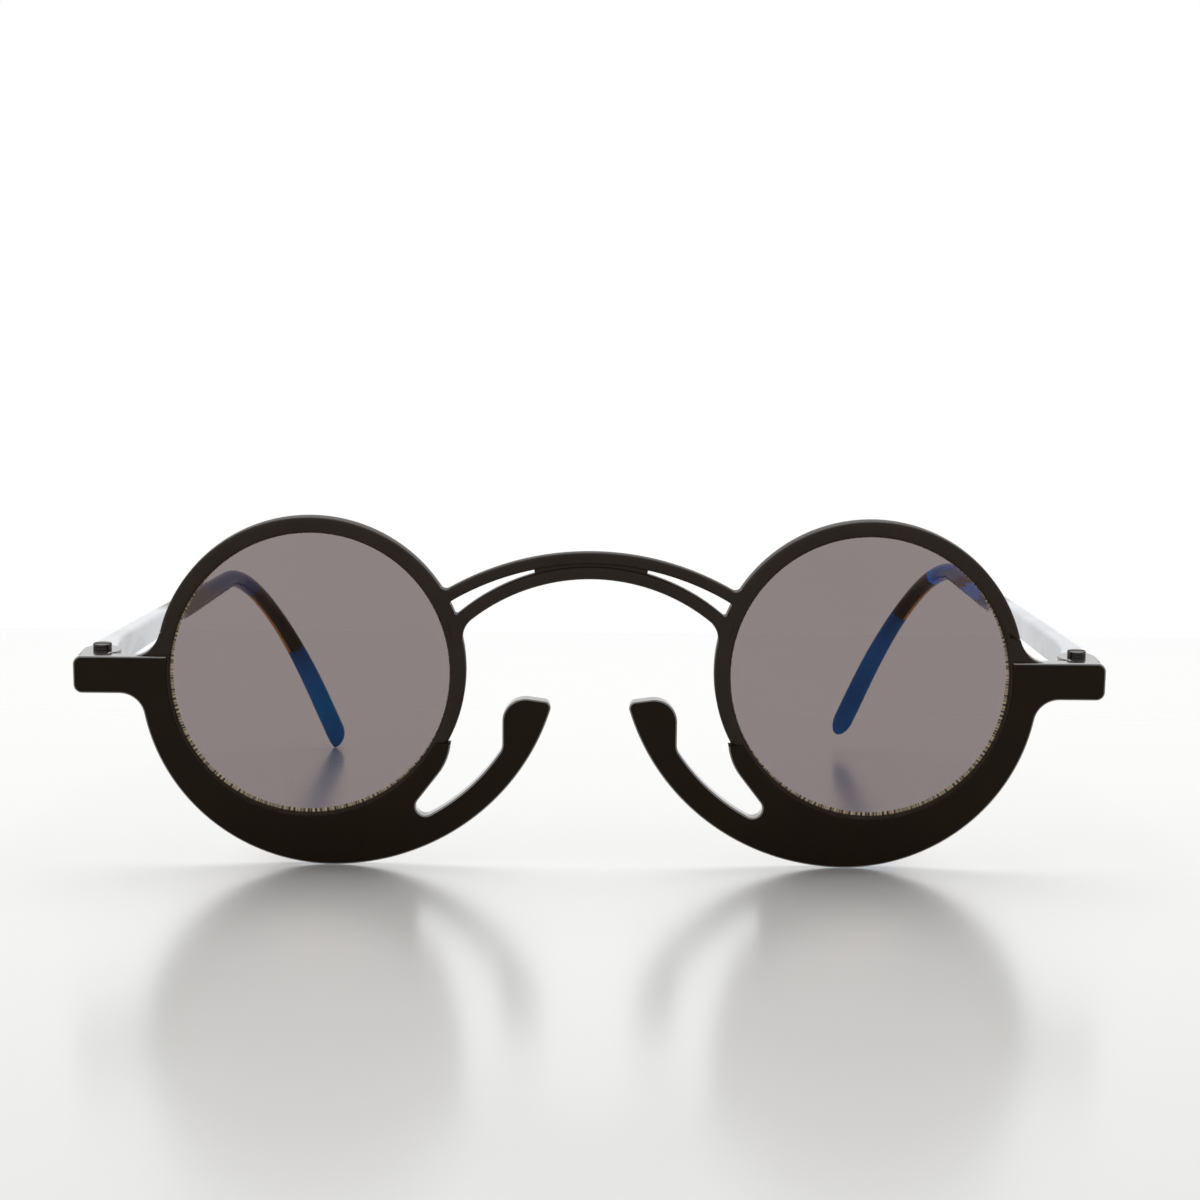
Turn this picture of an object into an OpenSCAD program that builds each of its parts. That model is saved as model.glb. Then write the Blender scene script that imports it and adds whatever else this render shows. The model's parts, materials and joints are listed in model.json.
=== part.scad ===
/* [Lenses] */
// Diameter of each round lens opening
opening_d = 36; // [30:0.5:42]
// Distance between the two lens centres
lens_spacing = 71.3; // [66:0.1:78]
// Thickness of each lens
lens_t = 1.6; // [1.2:0.1:2]
// Radius of the lens's front curve
lens_curve_r = 132; // [90:1:400]
// Depth of the front edge of the lens behind the plate face
lens_set = 1.2; // [1:0.05:1.4]
// Depth of the groove that holds the lens, outwards from the opening
groove_d = 0.6; // [0.4:0.05:0.8]
// Width of the groove at its mouth
groove_w = 1; // [0.6:0.05:1.2]
// Clearance between the lens and its seat
lens_gap = 0.03; // [0.02:0.01:0.08]

/* [Rim] */
// Radial width of the ring round each opening
ring_w = 1.8; // [1.5:0.1:2.6]
// Front to back thickness of the ring
ring_t = 2.6; // [2.3:0.1:3]
// Depth of the ring's face behind the plate's face
ring_set = 0.4; // [0.2:0.05:0.6]
// Corner radius of the ring's section
ring_round = 0.5; // [0.3:0.05:0.7]

/* [Crescent plate] */
// Thickness of the plate that forms the crescent, endpiece and nose arm
plate_t = 1.8; // [1.5:0.1:2.2]
// Width of the crescent below the ring
crescent_drop = 5.8; // [4:0.1:9]
// Radius of the crescent's outer arc on the temple side
outboard_r = 24.4; // [23.5:0.1:26]
// Radius of the crescent's outer arc on the nose side
inboard_r = 29.2; // [28:0.1:31]
// Sideways shift of both arcs' centres towards the nose
crescent_shift = 2.65; // [2:0.05:3.5]
// Width of the ring's face left bare along the opening
ring_bare = 0.35; // [0.2:0.05:0.6]
// Depth below the lens centre at which the plate ends on the nose side
step_drop = 9.4; // [8:0.1:11]

/* [Nose arm] */
// Width of the nose arm
arm_w = 3.5; // [2.5:0.1:4.5]
// Distance from the middle to the outer side of the nose pad
pad_x = 11.2; // [10:0.1:12.5]
// Depth of the nose pad's top below the lens centre
pad_drop = 3.4; // [2:0.1:6]
// Radius of the pad's large top corner
pad_round = 3; // [2:0.1:4]
// Radius of the pad's corner at the nose
pad_tip_round = 0.9; // [0.5:0.1:1.3]
// Drop of the pad's top towards the nose
pad_tip_drop = 0.3; // [0:0.1:1]
// Radius of the hollow between the pad and its arm
pad_hollow = 2; // [1:0.1:3]
// Radius of the rounded end of the gap beside the arm
gap_end_r = 1.25; // [0.9:0.05:1.6]
// Angle of the gap's end round the inner arc's centre
gap_end_angle = -119.2; // [-123:0.1:-115]
// Slope of the gap's outer side from the vertical
gap_slope = 37.3; // [33:0.1:42]
// Length of the gap's straight outer side
gap_side = 4.4; // [3:0.1:5]
// Radius of the bend at the top of the gap's outer side
gap_bend_r = 8; // [6:0.1:10]

/* [Bridge] */
// Height of the bridge's top edge above the lens centres
bridge_top = 15.55; // [13:0.05:18]
// Radius of the bridge's top edge
bridge_top_r = 36.1; // [34:0.1:40]
// Width of the upper bar
upper_bar_w = 1.55; // [1.2:0.05:2]
// Height of the bridge's lower edge above the lens centres
bridge_low = 12.05; // [11.5:0.05:12.4]
// Radius of the bridge's lower edge
bridge_low_r = 24.15; // [22:0.05:27]
// Width of the lower bar
lower_bar_w = 1.7; // [1.2:0.05:1.75]
// Front to back thickness of both bars
bar_t = 1.8; // [1.4:0.1:2.2]
// Corner radius of the bars' section
bar_round = 0.45; // [0.3:0.05:0.6]
// Half length of the thin web that joins the two bars
web_half = 7.2; // [5:0.1:9]
// Depth of the web's face behind the bars' faces
web_set = 0.35; // [0.2:0.05:0.5]
// Radius of the hollow between the upper bar's top edge and the ring
top_hollow = 0.9; // [0.5:0.1:2]
// Radius of the hollow between the lower bar's lower edge and the ring
low_hollow = 3; // [1.5:0.1:4]
// Radius of the corners of the slot at the ring
slot_round = 0.35; // [0.2:0.05:0.5]

/* [Endpiece and hinge] */
// Width of the whole front
front_w = 131.8; // [126:0.1:138]
// Height of the endpiece
end_h = 4.85; // [4.4:0.05:5.6]
// Height of the endpiece's top edge above the lens centre
end_top = 1.75; // [1:0.05:3]
// Corner radius of the endpiece
end_round = 1.1; // [0.5:0.1:1.5]
// Radius of the hollow between the endpiece and the crescent
end_hollow = 3.2; // [2:0.1:4]
// Radius of the hollow between the endpiece and the ring
end_hollow_top = 3.8; // [2:0.1:5]
// Distance from the end of the front to the hinge axis
pin_inset = 3.1; // [2.9:0.05:3.6]
// Radius of the hinge lugs
lug_r = 2.5; // [2.2:0.05:2.7]
// Height of each hinge lug
lug_h = 1.5; // [1.3:0.05:1.7]
// Clearance above and below the temple's knuckle
knuckle_gap = 0.05; // [0.03:0.01:0.1]
// Radial gap between the lugs and the temple's hollow end
lug_gap = 0.25; // [0.2:0.05:0.4]
// Distance by which the knuckle's eye is smaller than the lugs
eye_gap = 0.2; // [0.1:0.05:0.4]
// Distance of the tongue's inner side from the eye's inner side
tongue_inset = 0.4; // [0.2:0.1:0.8]
// Radius of the screw's shank
shank_r = 0.7; // [0.5:0.05:0.8]
// Radial running clearance round the shank
shank_gap = 0.03; // [0.01:0.01:0.08]
// Radius of the screw's cheese head
head_r = 1.2; // [1:0.05:1.5]
// Height of the screw's head
head_h = 0.75; // [0.5:0.05:1]
// Outer radius of the threaded insert
insert_r = 1.2; // [1.1:0.05:1.5]

/* [Temples] */
// Length of the straight stretch from the hinge to the bend
straight_l = 86; // [76:0.5:96]
// Radius of the bend behind the ear
bend_r = 31; // [22:0.5:36]
// Angle of the bend
bend_angle = 80; // [70:1:84]
// Length of the straight tip after the bend
tip_l = 10; // [6:0.5:14]
// Inward slopes of the open left and right temples
splay = [4.2, 3.5]; // [2.5:0.05:5]
// Downward slopes of the left and right temples
droop = [4, 2.7]; // [2:0.05:4.5]
// Turn of the bend towards the head
curl = 22.3; // [10:0.1:26]
// Thickness of the temple behind the flare
temple_w = 2.3; // [2.1:0.05:2.8]
// Height of the temple behind the flare
temple_h = 3.7; // [3:0.05:4.4]
// Length of the flare behind the hinge
flare_l = 14; // [10:0.5:18]
// Diameter of the round stretch at the bend
bend_d = 2.7; // [2.4:0.05:3.2]
// Width of the rounded tip
tip_w = 3.3; // [2.8:0.05:4]
// Thickness of the rounded tip
tip_t = 2.6; // [2.4:0.05:3]
// Radius of the core wire
core_r = 0.5; // [0.4:0.05:0.6]
// Distance from the hinge to the start of the core wire
core_start = 20; // [16:0.5:26]
// Distance from the end of the core wire to the end of the tip
core_end_gap = 5; // [4:0.5:9]
// Joints between the acetate blocks of the left temple, from the hinge
left_joints = [100, 119]; // [90:1:130]
// Joints between the acetate blocks of the right temple, from the hinge
right_joints = [91, 98, 113]; // [88:1:130]

/* [Hidden] */

$fn = 64;
// Greatest distance between a curve and its chord
chord = 0.015;
// Depth to which a joined piece is sunk into its neighbour
sink = 0.5;
// Distance that a cutting shape runs past the solid it cuts
cut = 1;
// Sides of the large round surfaces
round_sides = 96;
lens_sides = 200;

opening_r = opening_d / 2;
ring_r = opening_r + ring_w;
lens_c = [lens_spacing / 2, crescent_drop + ring_r];
ring_mid_r = opening_r + ring_w / 2;
groove_y = lens_set + lens_t / 2;

inboard_c = [lens_c.x - crescent_shift, inboard_r];
outboard_c = [lens_c.x - crescent_shift, outboard_r];
plate_inner_r = opening_r + ring_bare;

end_top_z = lens_c.y + end_top;
end_low_z = end_top_z - end_h;
end_x = front_w / 2;
pin = [end_x - pin_inset, plate_t + lug_r, end_top_z];

bridge_top_c = [0, lens_c.y + bridge_top - bridge_top_r];
bridge_low_c = [0, lens_c.y + bridge_low - bridge_low_r];
upper_bar_r = bridge_top_r - upper_bar_w;
lower_bar_r = bridge_low_r + lower_bar_w;

bend_l = bend_r * bend_angle * PI / 180;
temple_l = straight_l + bend_l + tip_l;
taper_start = 30;
ring_corner_n = 6;
hinge_corner = 0.5;
core_sides = 12;

// Plane geometry
function unit(a) = [cos(a), sin(a)];
function heading(v) = atan2(v.y, v.x);
function mix(a, b, k) = a + (b - a) * k;
function clamp(v) = min(1, max(0, v));
function smooth(v) = let (k = clamp(v)) k * k * (3 - 2 * k);

// Where two circles meet, on the left (1) or right (-1) of the line from the first to the second
function meet(c1, r1, c2, r2, side) =
    let (gap = c2 - c1, d = norm(gap), u = gap / d)
    let (along = (d * d + r1 * r1 - r2 * r2) / (2 * d))
    c1 + along * u + side * sqrt(r1 * r1 - along * along) * [-u.y, u.x];

// Points on an arc, spaced so that no chord lies more than the set distance from it
function arc(c, r, a0, a1) =
    let (n = max(2, ceil(abs(a1 - a0) / (2 * acos(1 - chord / r)))))
    [for (i = [0:n]) c + r * unit(mix(a0, a1, i / n))];

// An outline without its repeated points
function tidy(pts) = [
    for (i = [0:len(pts) - 1])
        if (norm(pts[i] - pts[(i + 1) % len(pts)]) > chord) pts[i]
];

// Direction of the shared tangent's normal over two circles of a hull
function tangent_normal(c1, r1, c2, r2) = heading(c1 - c2) + acos((r2 - r1) / norm(c1 - c2));

// Crescent plate outline: pad, nose side, crescent, endpiece, ring side and gap, anticlockwise
pad_c = [pad_x - pad_round, lens_c.y - pad_drop - pad_round];
pad_tip_z = pad_c.y + pad_round - pad_tip_round - pad_tip_drop;
pad_tip_c = [
    inboard_c.x - sqrt(pow(inboard_r - pad_tip_round, 2) - pow(pad_tip_z - inboard_c.y, 2)),
    pad_tip_z
];
pad_top_a = tangent_normal(pad_c, pad_round, pad_tip_c, pad_tip_round);
pad_tip_a = heading(pad_tip_c - inboard_c) + 360;
end_hollow_z = end_low_z - end_hollow;
end_hollow_c = [
    outboard_c.x + sqrt(pow(outboard_r + end_hollow, 2) - pow(end_hollow_z - outboard_c.y, 2)),
    end_hollow_z
];
end_hollow_a = heading(end_hollow_c - outboard_c);
ring_start_a = asin(end_top / plate_inner_r);
ring_end_a = -180 + asin(step_drop / plate_inner_r);
arm_inner_r = inboard_r - arm_w;
gap_end_c = inboard_c + (arm_inner_r - gap_end_r) * unit(gap_end_angle);
gap_bend_c = gap_end_c + (gap_end_r + gap_bend_r) * unit(gap_slope)
    + gap_side * unit(gap_slope + 90);
gap_bend_a = 180 - asin((lens_c.y - step_drop - gap_bend_c.y) / gap_bend_r);
hollow_x = pad_x + pad_hollow;
hollow_c = [
    hollow_x,
    inboard_c.y - sqrt(pow(arm_inner_r - pad_hollow, 2) - pow(inboard_c.x - hollow_x, 2))
];
hollow_a = heading(hollow_c - inboard_c);

plate_outline = tidy(concat(
    arc(pad_tip_c, pad_tip_round, pad_top_a, pad_tip_a),
    arc(inboard_c, inboard_r, pad_tip_a, 270),
    arc(outboard_c, outboard_r, -90, end_hollow_a),
    arc(end_hollow_c, end_hollow, end_hollow_a + 180, 90),
    arc([end_x - end_round, end_low_z + end_round], end_round, -90, 0),
    arc([end_x - end_round, end_top_z - end_round], end_round, 0, 90),
    arc(lens_c, plate_inner_r, ring_start_a, ring_end_a),
    arc(gap_bend_c, gap_bend_r, gap_bend_a, 180 + gap_slope),
    arc(gap_end_c, gap_end_r, gap_slope, gap_end_angle),
    arc(inboard_c, arm_inner_r, gap_end_angle, hollow_a),
    arc(hollow_c, pad_hollow, hollow_a, -180),
    arc(pad_c, pad_round, 0, pad_top_a)
));

// Shapes drawn in the plane of the front, with x sideways and y upwards, given a depth range
module facing(front, back) {
    translate([0, back, 0]) rotate([90, 0, 0]) linear_extrude(back - front) children();
}

// The rounded section of a ring or bar, from radius r and depth y
module bar_section(r, y, w, t, round) {
    translate([r, -y - t]) {
        translate([round, 0]) square([w - 2 * round, t]);
        translate([0, round]) square([w, t - 2 * round]);
        for (x = [round, w - round]) for (z = [round, t - round]) translate([x, z]) circle(round);
    }
}

// A bar bent round a centre in the plane of the front
module bent_bar(c, r, w, t, round, a0, a1) {
    translate([c.x, 0, c.y]) rotate([90, 0, 0]) rotate([0, 0, a0])
        rotate_extrude(angle = a1 - a0, $fn = round_sides) bar_section(r, ring_set, w, t, round);
}

// A hollow fillet between two circular edges. The sign says if it lies outside (1) or
// inside (-1) each circle.
module corner_fillet(c1, r1, sign1, c2, r2, sign2, r, side) {
    c = meet(c1, r1 + sign1 * r, c2, r2 + sign2 * r, side);
    corner = meet(c1, r1 - sign1 * sink, c2, r2 - sign2 * sink, side);
    a1 = heading(c - c1);
    a2 = heading(c - c2);
    facing(ring_set + bar_round / 2, ring_set + bar_t - bar_round / 2) difference() {
        polygon([c1 + (r1 - sign1 * sink) * unit(a1), corner, c2 + (r2 - sign2 * sink) * unit(a2), c]);
        translate(c) circle(r + chord);
    }
}

// Everything of the front that repeats on both sides, drawn on the right
module front_half() {
    facing(0, plate_t) polygon(plate_outline);
    translate([lens_c.x, 0, lens_c.y]) rotate([90, 0, 0]) rotate_extrude($fn = round_sides)
        bar_section(opening_r, ring_set, ring_w, ring_t, ring_round);
    endpiece_hollow();
    corner_fillet(bridge_top_c, bridge_top_r, 1, lens_c, ring_r, 1, top_hollow, 1);
    corner_fillet(bridge_top_c, upper_bar_r, -1, lens_c, ring_r, 1, slot_round, 1);
    corner_fillet(bridge_low_c, lower_bar_r, 1, lens_c, ring_r, 1, slot_round, 1);
    corner_fillet(bridge_low_c, bridge_low_r, -1, lens_c, ring_r, 1, low_hollow, 1);
    for (z = [end_low_z, end_top_z - lug_h]) hinge_lug(z);
}

// The hollow corner between the ring and the top of the endpiece
module endpiece_hollow() {
    z = end_top_z + end_hollow_top;
    c = [lens_c.x + sqrt(pow(ring_r + end_hollow_top, 2) - pow(z - lens_c.y, 2)), z];
    a = heading(c - lens_c);
    facing(ring_set, plate_t - bar_round) difference() {
        polygon([
            lens_c + ring_mid_r * unit(a), lens_c + ring_mid_r * unit(0),
            [c.x, end_top_z - sink], [c.x, end_top_z], c
        ]);
        translate(c) circle(end_hollow_top + chord);
    }
}

// One lug of the hinge: round the pin, and square to the plate on its outer side
module hinge_lug(z) {
    translate([pin.x, pin.y, z]) linear_extrude(lug_h) {
        circle(lug_r);
        translate([-lug_r / 2, -lug_r - sink]) square([lug_r * 1.5, lug_r + sink]);
    }
}

// The V groove in the ring that holds the lens
module lens_groove() {
    translate([lens_c.x, groove_y, lens_c.y]) rotate([90, 0, 0]) rotate_extrude($fn = round_sides)
        polygon([
            [opening_r - sink, -groove_w / 2], [opening_r, -groove_w / 2],
            [opening_r + groove_d, 0], [opening_r, groove_w / 2], [opening_r - sink, groove_w / 2]
        ]);
}

// The two bars of the bridge with the thin web between them
module bridge() {
    web_end_r = bar_round * 2 / 3;
    upper_mid = meet(bridge_top_c, bridge_top_r - upper_bar_w / 2, lens_c, ring_mid_r, 1);
    lower_mid = meet(bridge_low_c, bridge_low_r + lower_bar_w / 2, lens_c, ring_mid_r, 1);
    upper_a = heading(upper_mid - bridge_top_c);
    lower_a = heading(lower_mid - bridge_low_c);
    bent_bar(bridge_top_c, upper_bar_r, upper_bar_w, bar_t, bar_round, upper_a, 180 - upper_a);
    bent_bar(bridge_low_c, bridge_low_r, lower_bar_w, bar_t, bar_round, lower_a, 180 - lower_a);
    facing(ring_set + web_set, ring_set + bar_t - web_set) difference() {
        intersection() {
            translate(bridge_top_c) circle(upper_bar_r + bar_round, $fn = round_sides);
            translate([-web_half, lens_c.y]) square([2 * web_half, bridge_top]);
        }
        translate(bridge_low_c) circle(lower_bar_r - bar_round, $fn = round_sides);
        for (x = [-web_half, web_half])
            translate([x, bridge_top_c.y + sqrt(pow(upper_bar_r, 2) - x * x) - web_end_r])
                circle(web_end_r);
    }
}

module front_frame() {
    color("#221b14") difference() {
        union() {
            for (side = [0, 1]) mirror([side, 0, 0]) front_half();
            bridge();
        }
        for (side = [0, 1]) mirror([side, 0, 0]) {
            lens_groove();
            translate([pin.x, pin.y, end_top_z - lug_h - cut])
                cylinder(h = lug_h + 2 * cut, r = shank_r + shank_gap);
            translate([pin.x, pin.y, end_low_z - cut])
                cylinder(h = lug_h + 2 * cut - knuckle_gap, r = insert_r);
        }
    }
}

// A round lens: a shell of two spheres with a V edge that seats in the groove
module lens() {
    edge_r = opening_r - lens_gap;
    tip_r = opening_r + groove_d - lens_gap;
    half_v = groove_w / 2 - lens_gap;
    sphere_y = lens_set + sqrt(pow(lens_curve_r, 2) - pow(edge_r, 2));
    color("#8c8282", 0.6) translate([lens_c.x, 0, lens_c.y]) rotate([90, 0, 0]) union() {
        difference() {
            intersection() {
                translate([0, 0, -sphere_y]) sphere(lens_curve_r, $fn = lens_sides);
                translate([0, 0, -lens_set - lens_t - cut]) cylinder(h = lens_t + 6 * cut, r = edge_r);
            }
            translate([0, 0, -sphere_y]) sphere(lens_curve_r - lens_t, $fn = lens_sides);
        }
        rotate_extrude($fn = round_sides) polygon([
            [edge_r - sink, -groove_y - half_v], [edge_r, -groove_y - half_v],
            [tip_r, -groove_y], [edge_r, -groove_y + half_v], [edge_r - sink, -groove_y + half_v]
        ]);
    }
}

// The brass insert moulded into the lower lug
module hinge_insert() {
    color("#b08d4a") translate([pin.x, pin.y, end_low_z]) difference() {
        cylinder(h = lug_h, r = insert_r);
        translate([0, 0, -cut]) cylinder(h = lug_h + 2 * cut, r = shank_r + shank_gap / 2);
    }
}

// The slotted cheese-head screw that is the hinge's pin
module hinge_screw() {
    slot_w = head_r / 3;
    color("#9a9a98") translate([pin.x, pin.y, end_low_z]) difference() {
        union() {
            cylinder(h = end_h, r = shank_r);
            translate([0, 0, end_h]) cylinder(h = head_h, r = head_r);
        }
        translate([-head_r - cut, -slot_w / 2, end_h + head_h / 2])
            cube([2 * (head_r + cut), slot_w, head_h]);
    }
}

// The temple's section at a distance from the hinge: half width, half height, corner radius,
// and the middle's place sideways and upwards from the hinge end's top
function flare(s) = pow(1 - clamp(s / flare_l), 2);
function taper(s) = clamp((s - taper_start) / (straight_l - taper_start));
function swell(s) = smooth((s - straight_l - bend_l / 2) / (bend_l / 2 + tip_l / 2));
function half_w(s) = s < straight_l
    ? (mix(temple_w, 2 * lug_r, flare(s)) + (bend_d - temple_w) * taper(s)) / 2
    : mix(bend_d, tip_w, swell(s)) / 2;
function half_h(s) = s < straight_l
    ? (mix(temple_h, end_h, flare(s)) + (bend_d - temple_h) * taper(s)) / 2
    : mix(bend_d, tip_t, swell(s)) / 2;
function corner_r(s) = s < straight_l
    ? mix(hinge_corner, bend_d / 2, clamp((s - flare_l) / (straight_l - flare_l)))
    : min(half_w(s), half_h(s));
function mid_x(s) = lug_r - mix(temple_w, 2 * lug_r, flare(s)) / 2;
function mid_z(s) = -mix(temple_h, end_h, flare(s)) / 2;

// A vector turned in the plane across the temple
function turned(v, a) = [v[0] * cos(a) + v[1] * sin(a), -v[0] * sin(a) + v[1] * cos(a)];

// A point at a distance along the temple and an offset across it, on the straight stretch,
// round the bend or on the tip, from the hinge end's top
function temple_point(s, across) =
    let (a = clamp((s - straight_l) / bend_l) * bend_angle)
    let (tip = max(0, s - straight_l - bend_l))
    let (y = min(s, straight_l) + (bend_r + across[1]) * sin(a) + tip * cos(a))
    let (z = (bend_r + across[1]) * cos(a) - bend_r - tip * sin(a))
    let (place = turned([across[0], z], curl))
    [mid_x(s) + place[0], y, mid_z(s) + place[1]];

// Faces of a skin over rings of n points, numbered from ring 0 to the last
function skin_faces(n, last) = concat(
    [for (k = [0:last - 1]) for (i = [0:n - 1]) let (j = (i + 1) % n) for (t = [0, 1])
        t == 0 ? [k * n + i, k * n + j, (k + 1) * n + j] : [k * n + i, (k + 1) * n + j, (k + 1) * n + i]],
    [[for (i = [n - 1:-1:0]) i], [for (i = [0:n - 1]) last * n + i]]
);

// One ring of points round the temple. The section is turned into the bend's plane before it.
tip_round = tip_t / 2 + 0.2;
function end_scale(s) = let (k = clamp((s - temple_l + tip_round) / tip_round)) sqrt(1 - k * k);
function section(s) =
    let (w = half_w(s), h = half_h(s), r = corner_r(s))
    let (lag = curl * (smooth((s - taper_start) / (straight_l - taper_start)) - 1))
    [for (q = [0:3]) for (i = [0:ring_corner_n - 1])
        let (a = 90 * (q + (i + 0.5) / ring_corner_n))
        let (x = (w - r) * (q == 0 || q == 3 ? 1 : -1) + r * cos(a))
        let (z = (h - r) * (q < 2 ? 1 : -1) + r * sin(a))
        temple_point(s, turned(end_scale(s) * [x, z], lag))];

// Distances from the hinge at which the temple has a ring
temple_start = 0.4;
straight_n = 8;
bend_n = 16;
tip_n = 3;
cap_n = 5;
cap_turn = 86;
bend_step = bend_l / bend_n;
stations = concat(
    [for (s = [temple_start:flare_l / straight_n:flare_l]) s],
    [for (k = [1:straight_n - 1]) mix(flare_l, straight_l, k / straight_n)],
    [for (k = [0:bend_n]) straight_l + k * bend_step],
    [for (k = [0:tip_n]) mix(straight_l + bend_l, temple_l - tip_round, k / tip_n)],
    [for (k = [1:cap_n]) temple_l - tip_round * (1 - sin(cap_turn * k / cap_n))]
);
temple_end = stations[len(stations) - 1];

// From the temple's own place to the front's. Side 0 is the left temple and 1 the right one,
// both drawn on the right.
function rot_x(v, a) = [v.x, v.y * cos(a) - v.z * sin(a), v.y * sin(a) + v.z * cos(a)];
function rot_z(v, a) = [v.x * cos(a) - v.y * sin(a), v.x * sin(a) + v.y * cos(a), v.z];
function from_temple(v, side) = pin + rot_z(rot_x(v, -droop[side]), splay[side]);
module on_temple(side) {
    translate(pin) rotate([-droop[side], 0, splay[side]]) children();
}

// A stretch of the temple between two distances from the hinge, as one smooth skin
module temple_span(side, s0, s1) {
    n = 4 * ring_corner_n;
    margin = bend_step / 3;
    list = concat([s0], [for (s = stations) if (s > s0 + margin && s < s1 - margin) s],
        s1 < temple_end ? [s1] : [for (s = stations) if (s >= s1 - margin) s]);
    last = len(list) - 1;
    points = [for (s = list) for (p = section(s)) p];
    on_temple(side) polyhedron(points, skin_faces(n, last), convexity = 4);
}

// The core wire, along the middle of the temple
module core_wire(side) {
    n = core_sides;
    core_end = temple_l - core_end_gap;
    list = concat([core_start], [for (s = stations) if (s > core_start && s < core_end) s], [core_end]);
    last = len(list) - 1;
    points = [for (s = list) for (i = [0:n - 1]) temple_point(s, core_r * unit(360 * i / n))];
    on_temple(side) polyhedron(points, skin_faces(n, last), convexity = 4);
}

// The knuckle between the lugs, with the square corner that stops the temple when open
module knuckle() {
    low = end_low_z + lug_h + knuckle_gap;
    eye_r = lug_r - eye_gap;
    stop = lug_r - knuckle_gap;
    root = 2 * eye_r - tongue_inset;
    translate([pin.x, pin.y, low]) linear_extrude(end_h - 2 * lug_h - 2 * knuckle_gap) {
        circle(eye_r);
        translate([0, -stop]) square([eye_r, stop]);
        translate([eye_r - root, 0]) square([root, flare_l / 3]);
    }
}

// The block at the hinge, with its hollow end round the lugs
module temple_arm(side, s1) {
    difference() {
        union() {
            difference() {
                temple_span(side, temple_start, s1);
                translate([pin.x, pin.y, end_low_z - 2 * cut])
                    cylinder(h = end_h + 4 * cut, r = lug_r + lug_gap);
            }
            knuckle();
        }
        translate([pin.x, pin.y, end_low_z]) cylinder(h = end_h, r = shank_r + shank_gap);
        core_wire(side);
    }
}

// A block further along the temple
module temple_block(side, s0, s1) {
    difference() {
        temple_span(side, s0, s1);
        core_wire(side);
    }
}

// The open glasses rest on the lower edge of the plate and on both temple tips, so the front
// leans: the steepest line from that edge to any point of a tip is the floor.
tip_points = [
    for (side = [0, 1]) for (s = stations) if (s > straight_l) for (v = section(s)) from_temple(v, side)
];
lean = max([for (v = tip_points) atan2(-v.z, v.y)]);
front_y = (ring_set + ring_round) * cos(lean) - (lens_c.y + ring_r - ring_round) * sin(lean) - ring_round;
back_y = max([for (v = tip_points) v.y * cos(lean) - v.z * sin(lean)]);
module standing() {
    translate([0, -(front_y + back_y) / 2, 0]) rotate([lean, 0, 0]) children();
}
module on_left() {
    mirror([1, 0, 0]) children();
}

standing() front_frame();
standing() on_left() lens();  // left_lens
standing() lens();  // right_lens
standing() on_left() hinge_insert();  // left_hinge_insert
standing() hinge_insert();  // right_hinge_insert
standing() on_left() hinge_screw();  // left_hinge_screw
standing() hinge_screw();  // right_hinge_screw
color("#5d5a78") standing() on_left() temple_arm(0, left_joints[0]);  // left_temple_arm
color("#1f1b18") standing() on_left() temple_block(0, left_joints[0], left_joints[1]);  // left_temple_black_block
color("#1f5fa8") standing() on_left() temple_block(0, left_joints[1], temple_end);  // left_temple_blue_tip
color("#b9b9b4") standing() on_left() core_wire(0);  // left_temple_core
color("#6a6478") standing() temple_arm(1, right_joints[0]);  // right_temple_arm
color("#2a5fc0") standing() temple_block(1, right_joints[0], right_joints[1]);  // right_temple_blue_stripe
color("#201d1e") standing() temple_block(1, right_joints[1], right_joints[2]);  // right_temple_black_block
color("#1d3470") standing() temple_block(1, right_joints[2], temple_end);  // right_temple_navy_tip
color("#b9b9b4") standing() core_wire(1);  // right_temple_core
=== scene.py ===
"""Round sunglasses with crescent plates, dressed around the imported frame. Lengths are in metres."""
import json
import math

import bmesh
import bpy
import numpy as np
from mathutils import Matrix, Vector


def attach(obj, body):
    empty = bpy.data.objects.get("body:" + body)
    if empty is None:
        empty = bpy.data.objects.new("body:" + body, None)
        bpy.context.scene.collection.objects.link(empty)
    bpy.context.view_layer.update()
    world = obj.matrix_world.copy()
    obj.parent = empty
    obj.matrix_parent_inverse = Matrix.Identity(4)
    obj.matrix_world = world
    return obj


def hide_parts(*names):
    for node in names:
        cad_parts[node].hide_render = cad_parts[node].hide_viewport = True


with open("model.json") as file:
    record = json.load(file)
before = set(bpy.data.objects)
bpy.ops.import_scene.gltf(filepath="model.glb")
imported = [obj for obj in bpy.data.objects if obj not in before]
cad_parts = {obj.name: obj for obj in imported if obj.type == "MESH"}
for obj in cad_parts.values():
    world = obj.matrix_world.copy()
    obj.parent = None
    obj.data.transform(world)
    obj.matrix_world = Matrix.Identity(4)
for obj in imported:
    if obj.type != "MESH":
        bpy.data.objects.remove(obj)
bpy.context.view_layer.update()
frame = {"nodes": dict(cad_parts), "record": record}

bl_info = {
    "name": "Round Sunglasses",
    "version": (1, 0, 0),
    "blender": (4, 5, 0),
    "location": "View3D > Sidebar > Sunglasses",
    "description": "Round sunglasses with crescent plates and patchwork acetate temples",
    "category": "Add Mesh",
}

MM = 0.001
QUARTER = math.pi / 2
FULL = 2 * math.pi
HINGES = {j["name"]: j for j in frame["record"]["behaviour"]["joints"]}
LEAN = math.atan2(-HINGES["right_hinge"]["axis"][1], HINGES["right_hinge"]["axis"][2])
SIDES = {"left": -1, "right": 1}


# Sizes and colours

def linear(code):
    """An sRGB hex colour as linear red, green and blue."""
    parts = [int(code[i:i + 2], 16) / 255 for i in (1, 3, 5)]
    return tuple(c / 12.92 if c <= 0.04045 else ((c + 0.055) / 1.055) ** 2.4 for c in parts)


def length(name, millimetres, description):
    """A length property, its default in millimetres."""
    return bpy.props.FloatProperty(
        name=name, description=description, default=millimetres * MM, unit="LENGTH",
        subtype="DISTANCE", precision=5)


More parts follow.
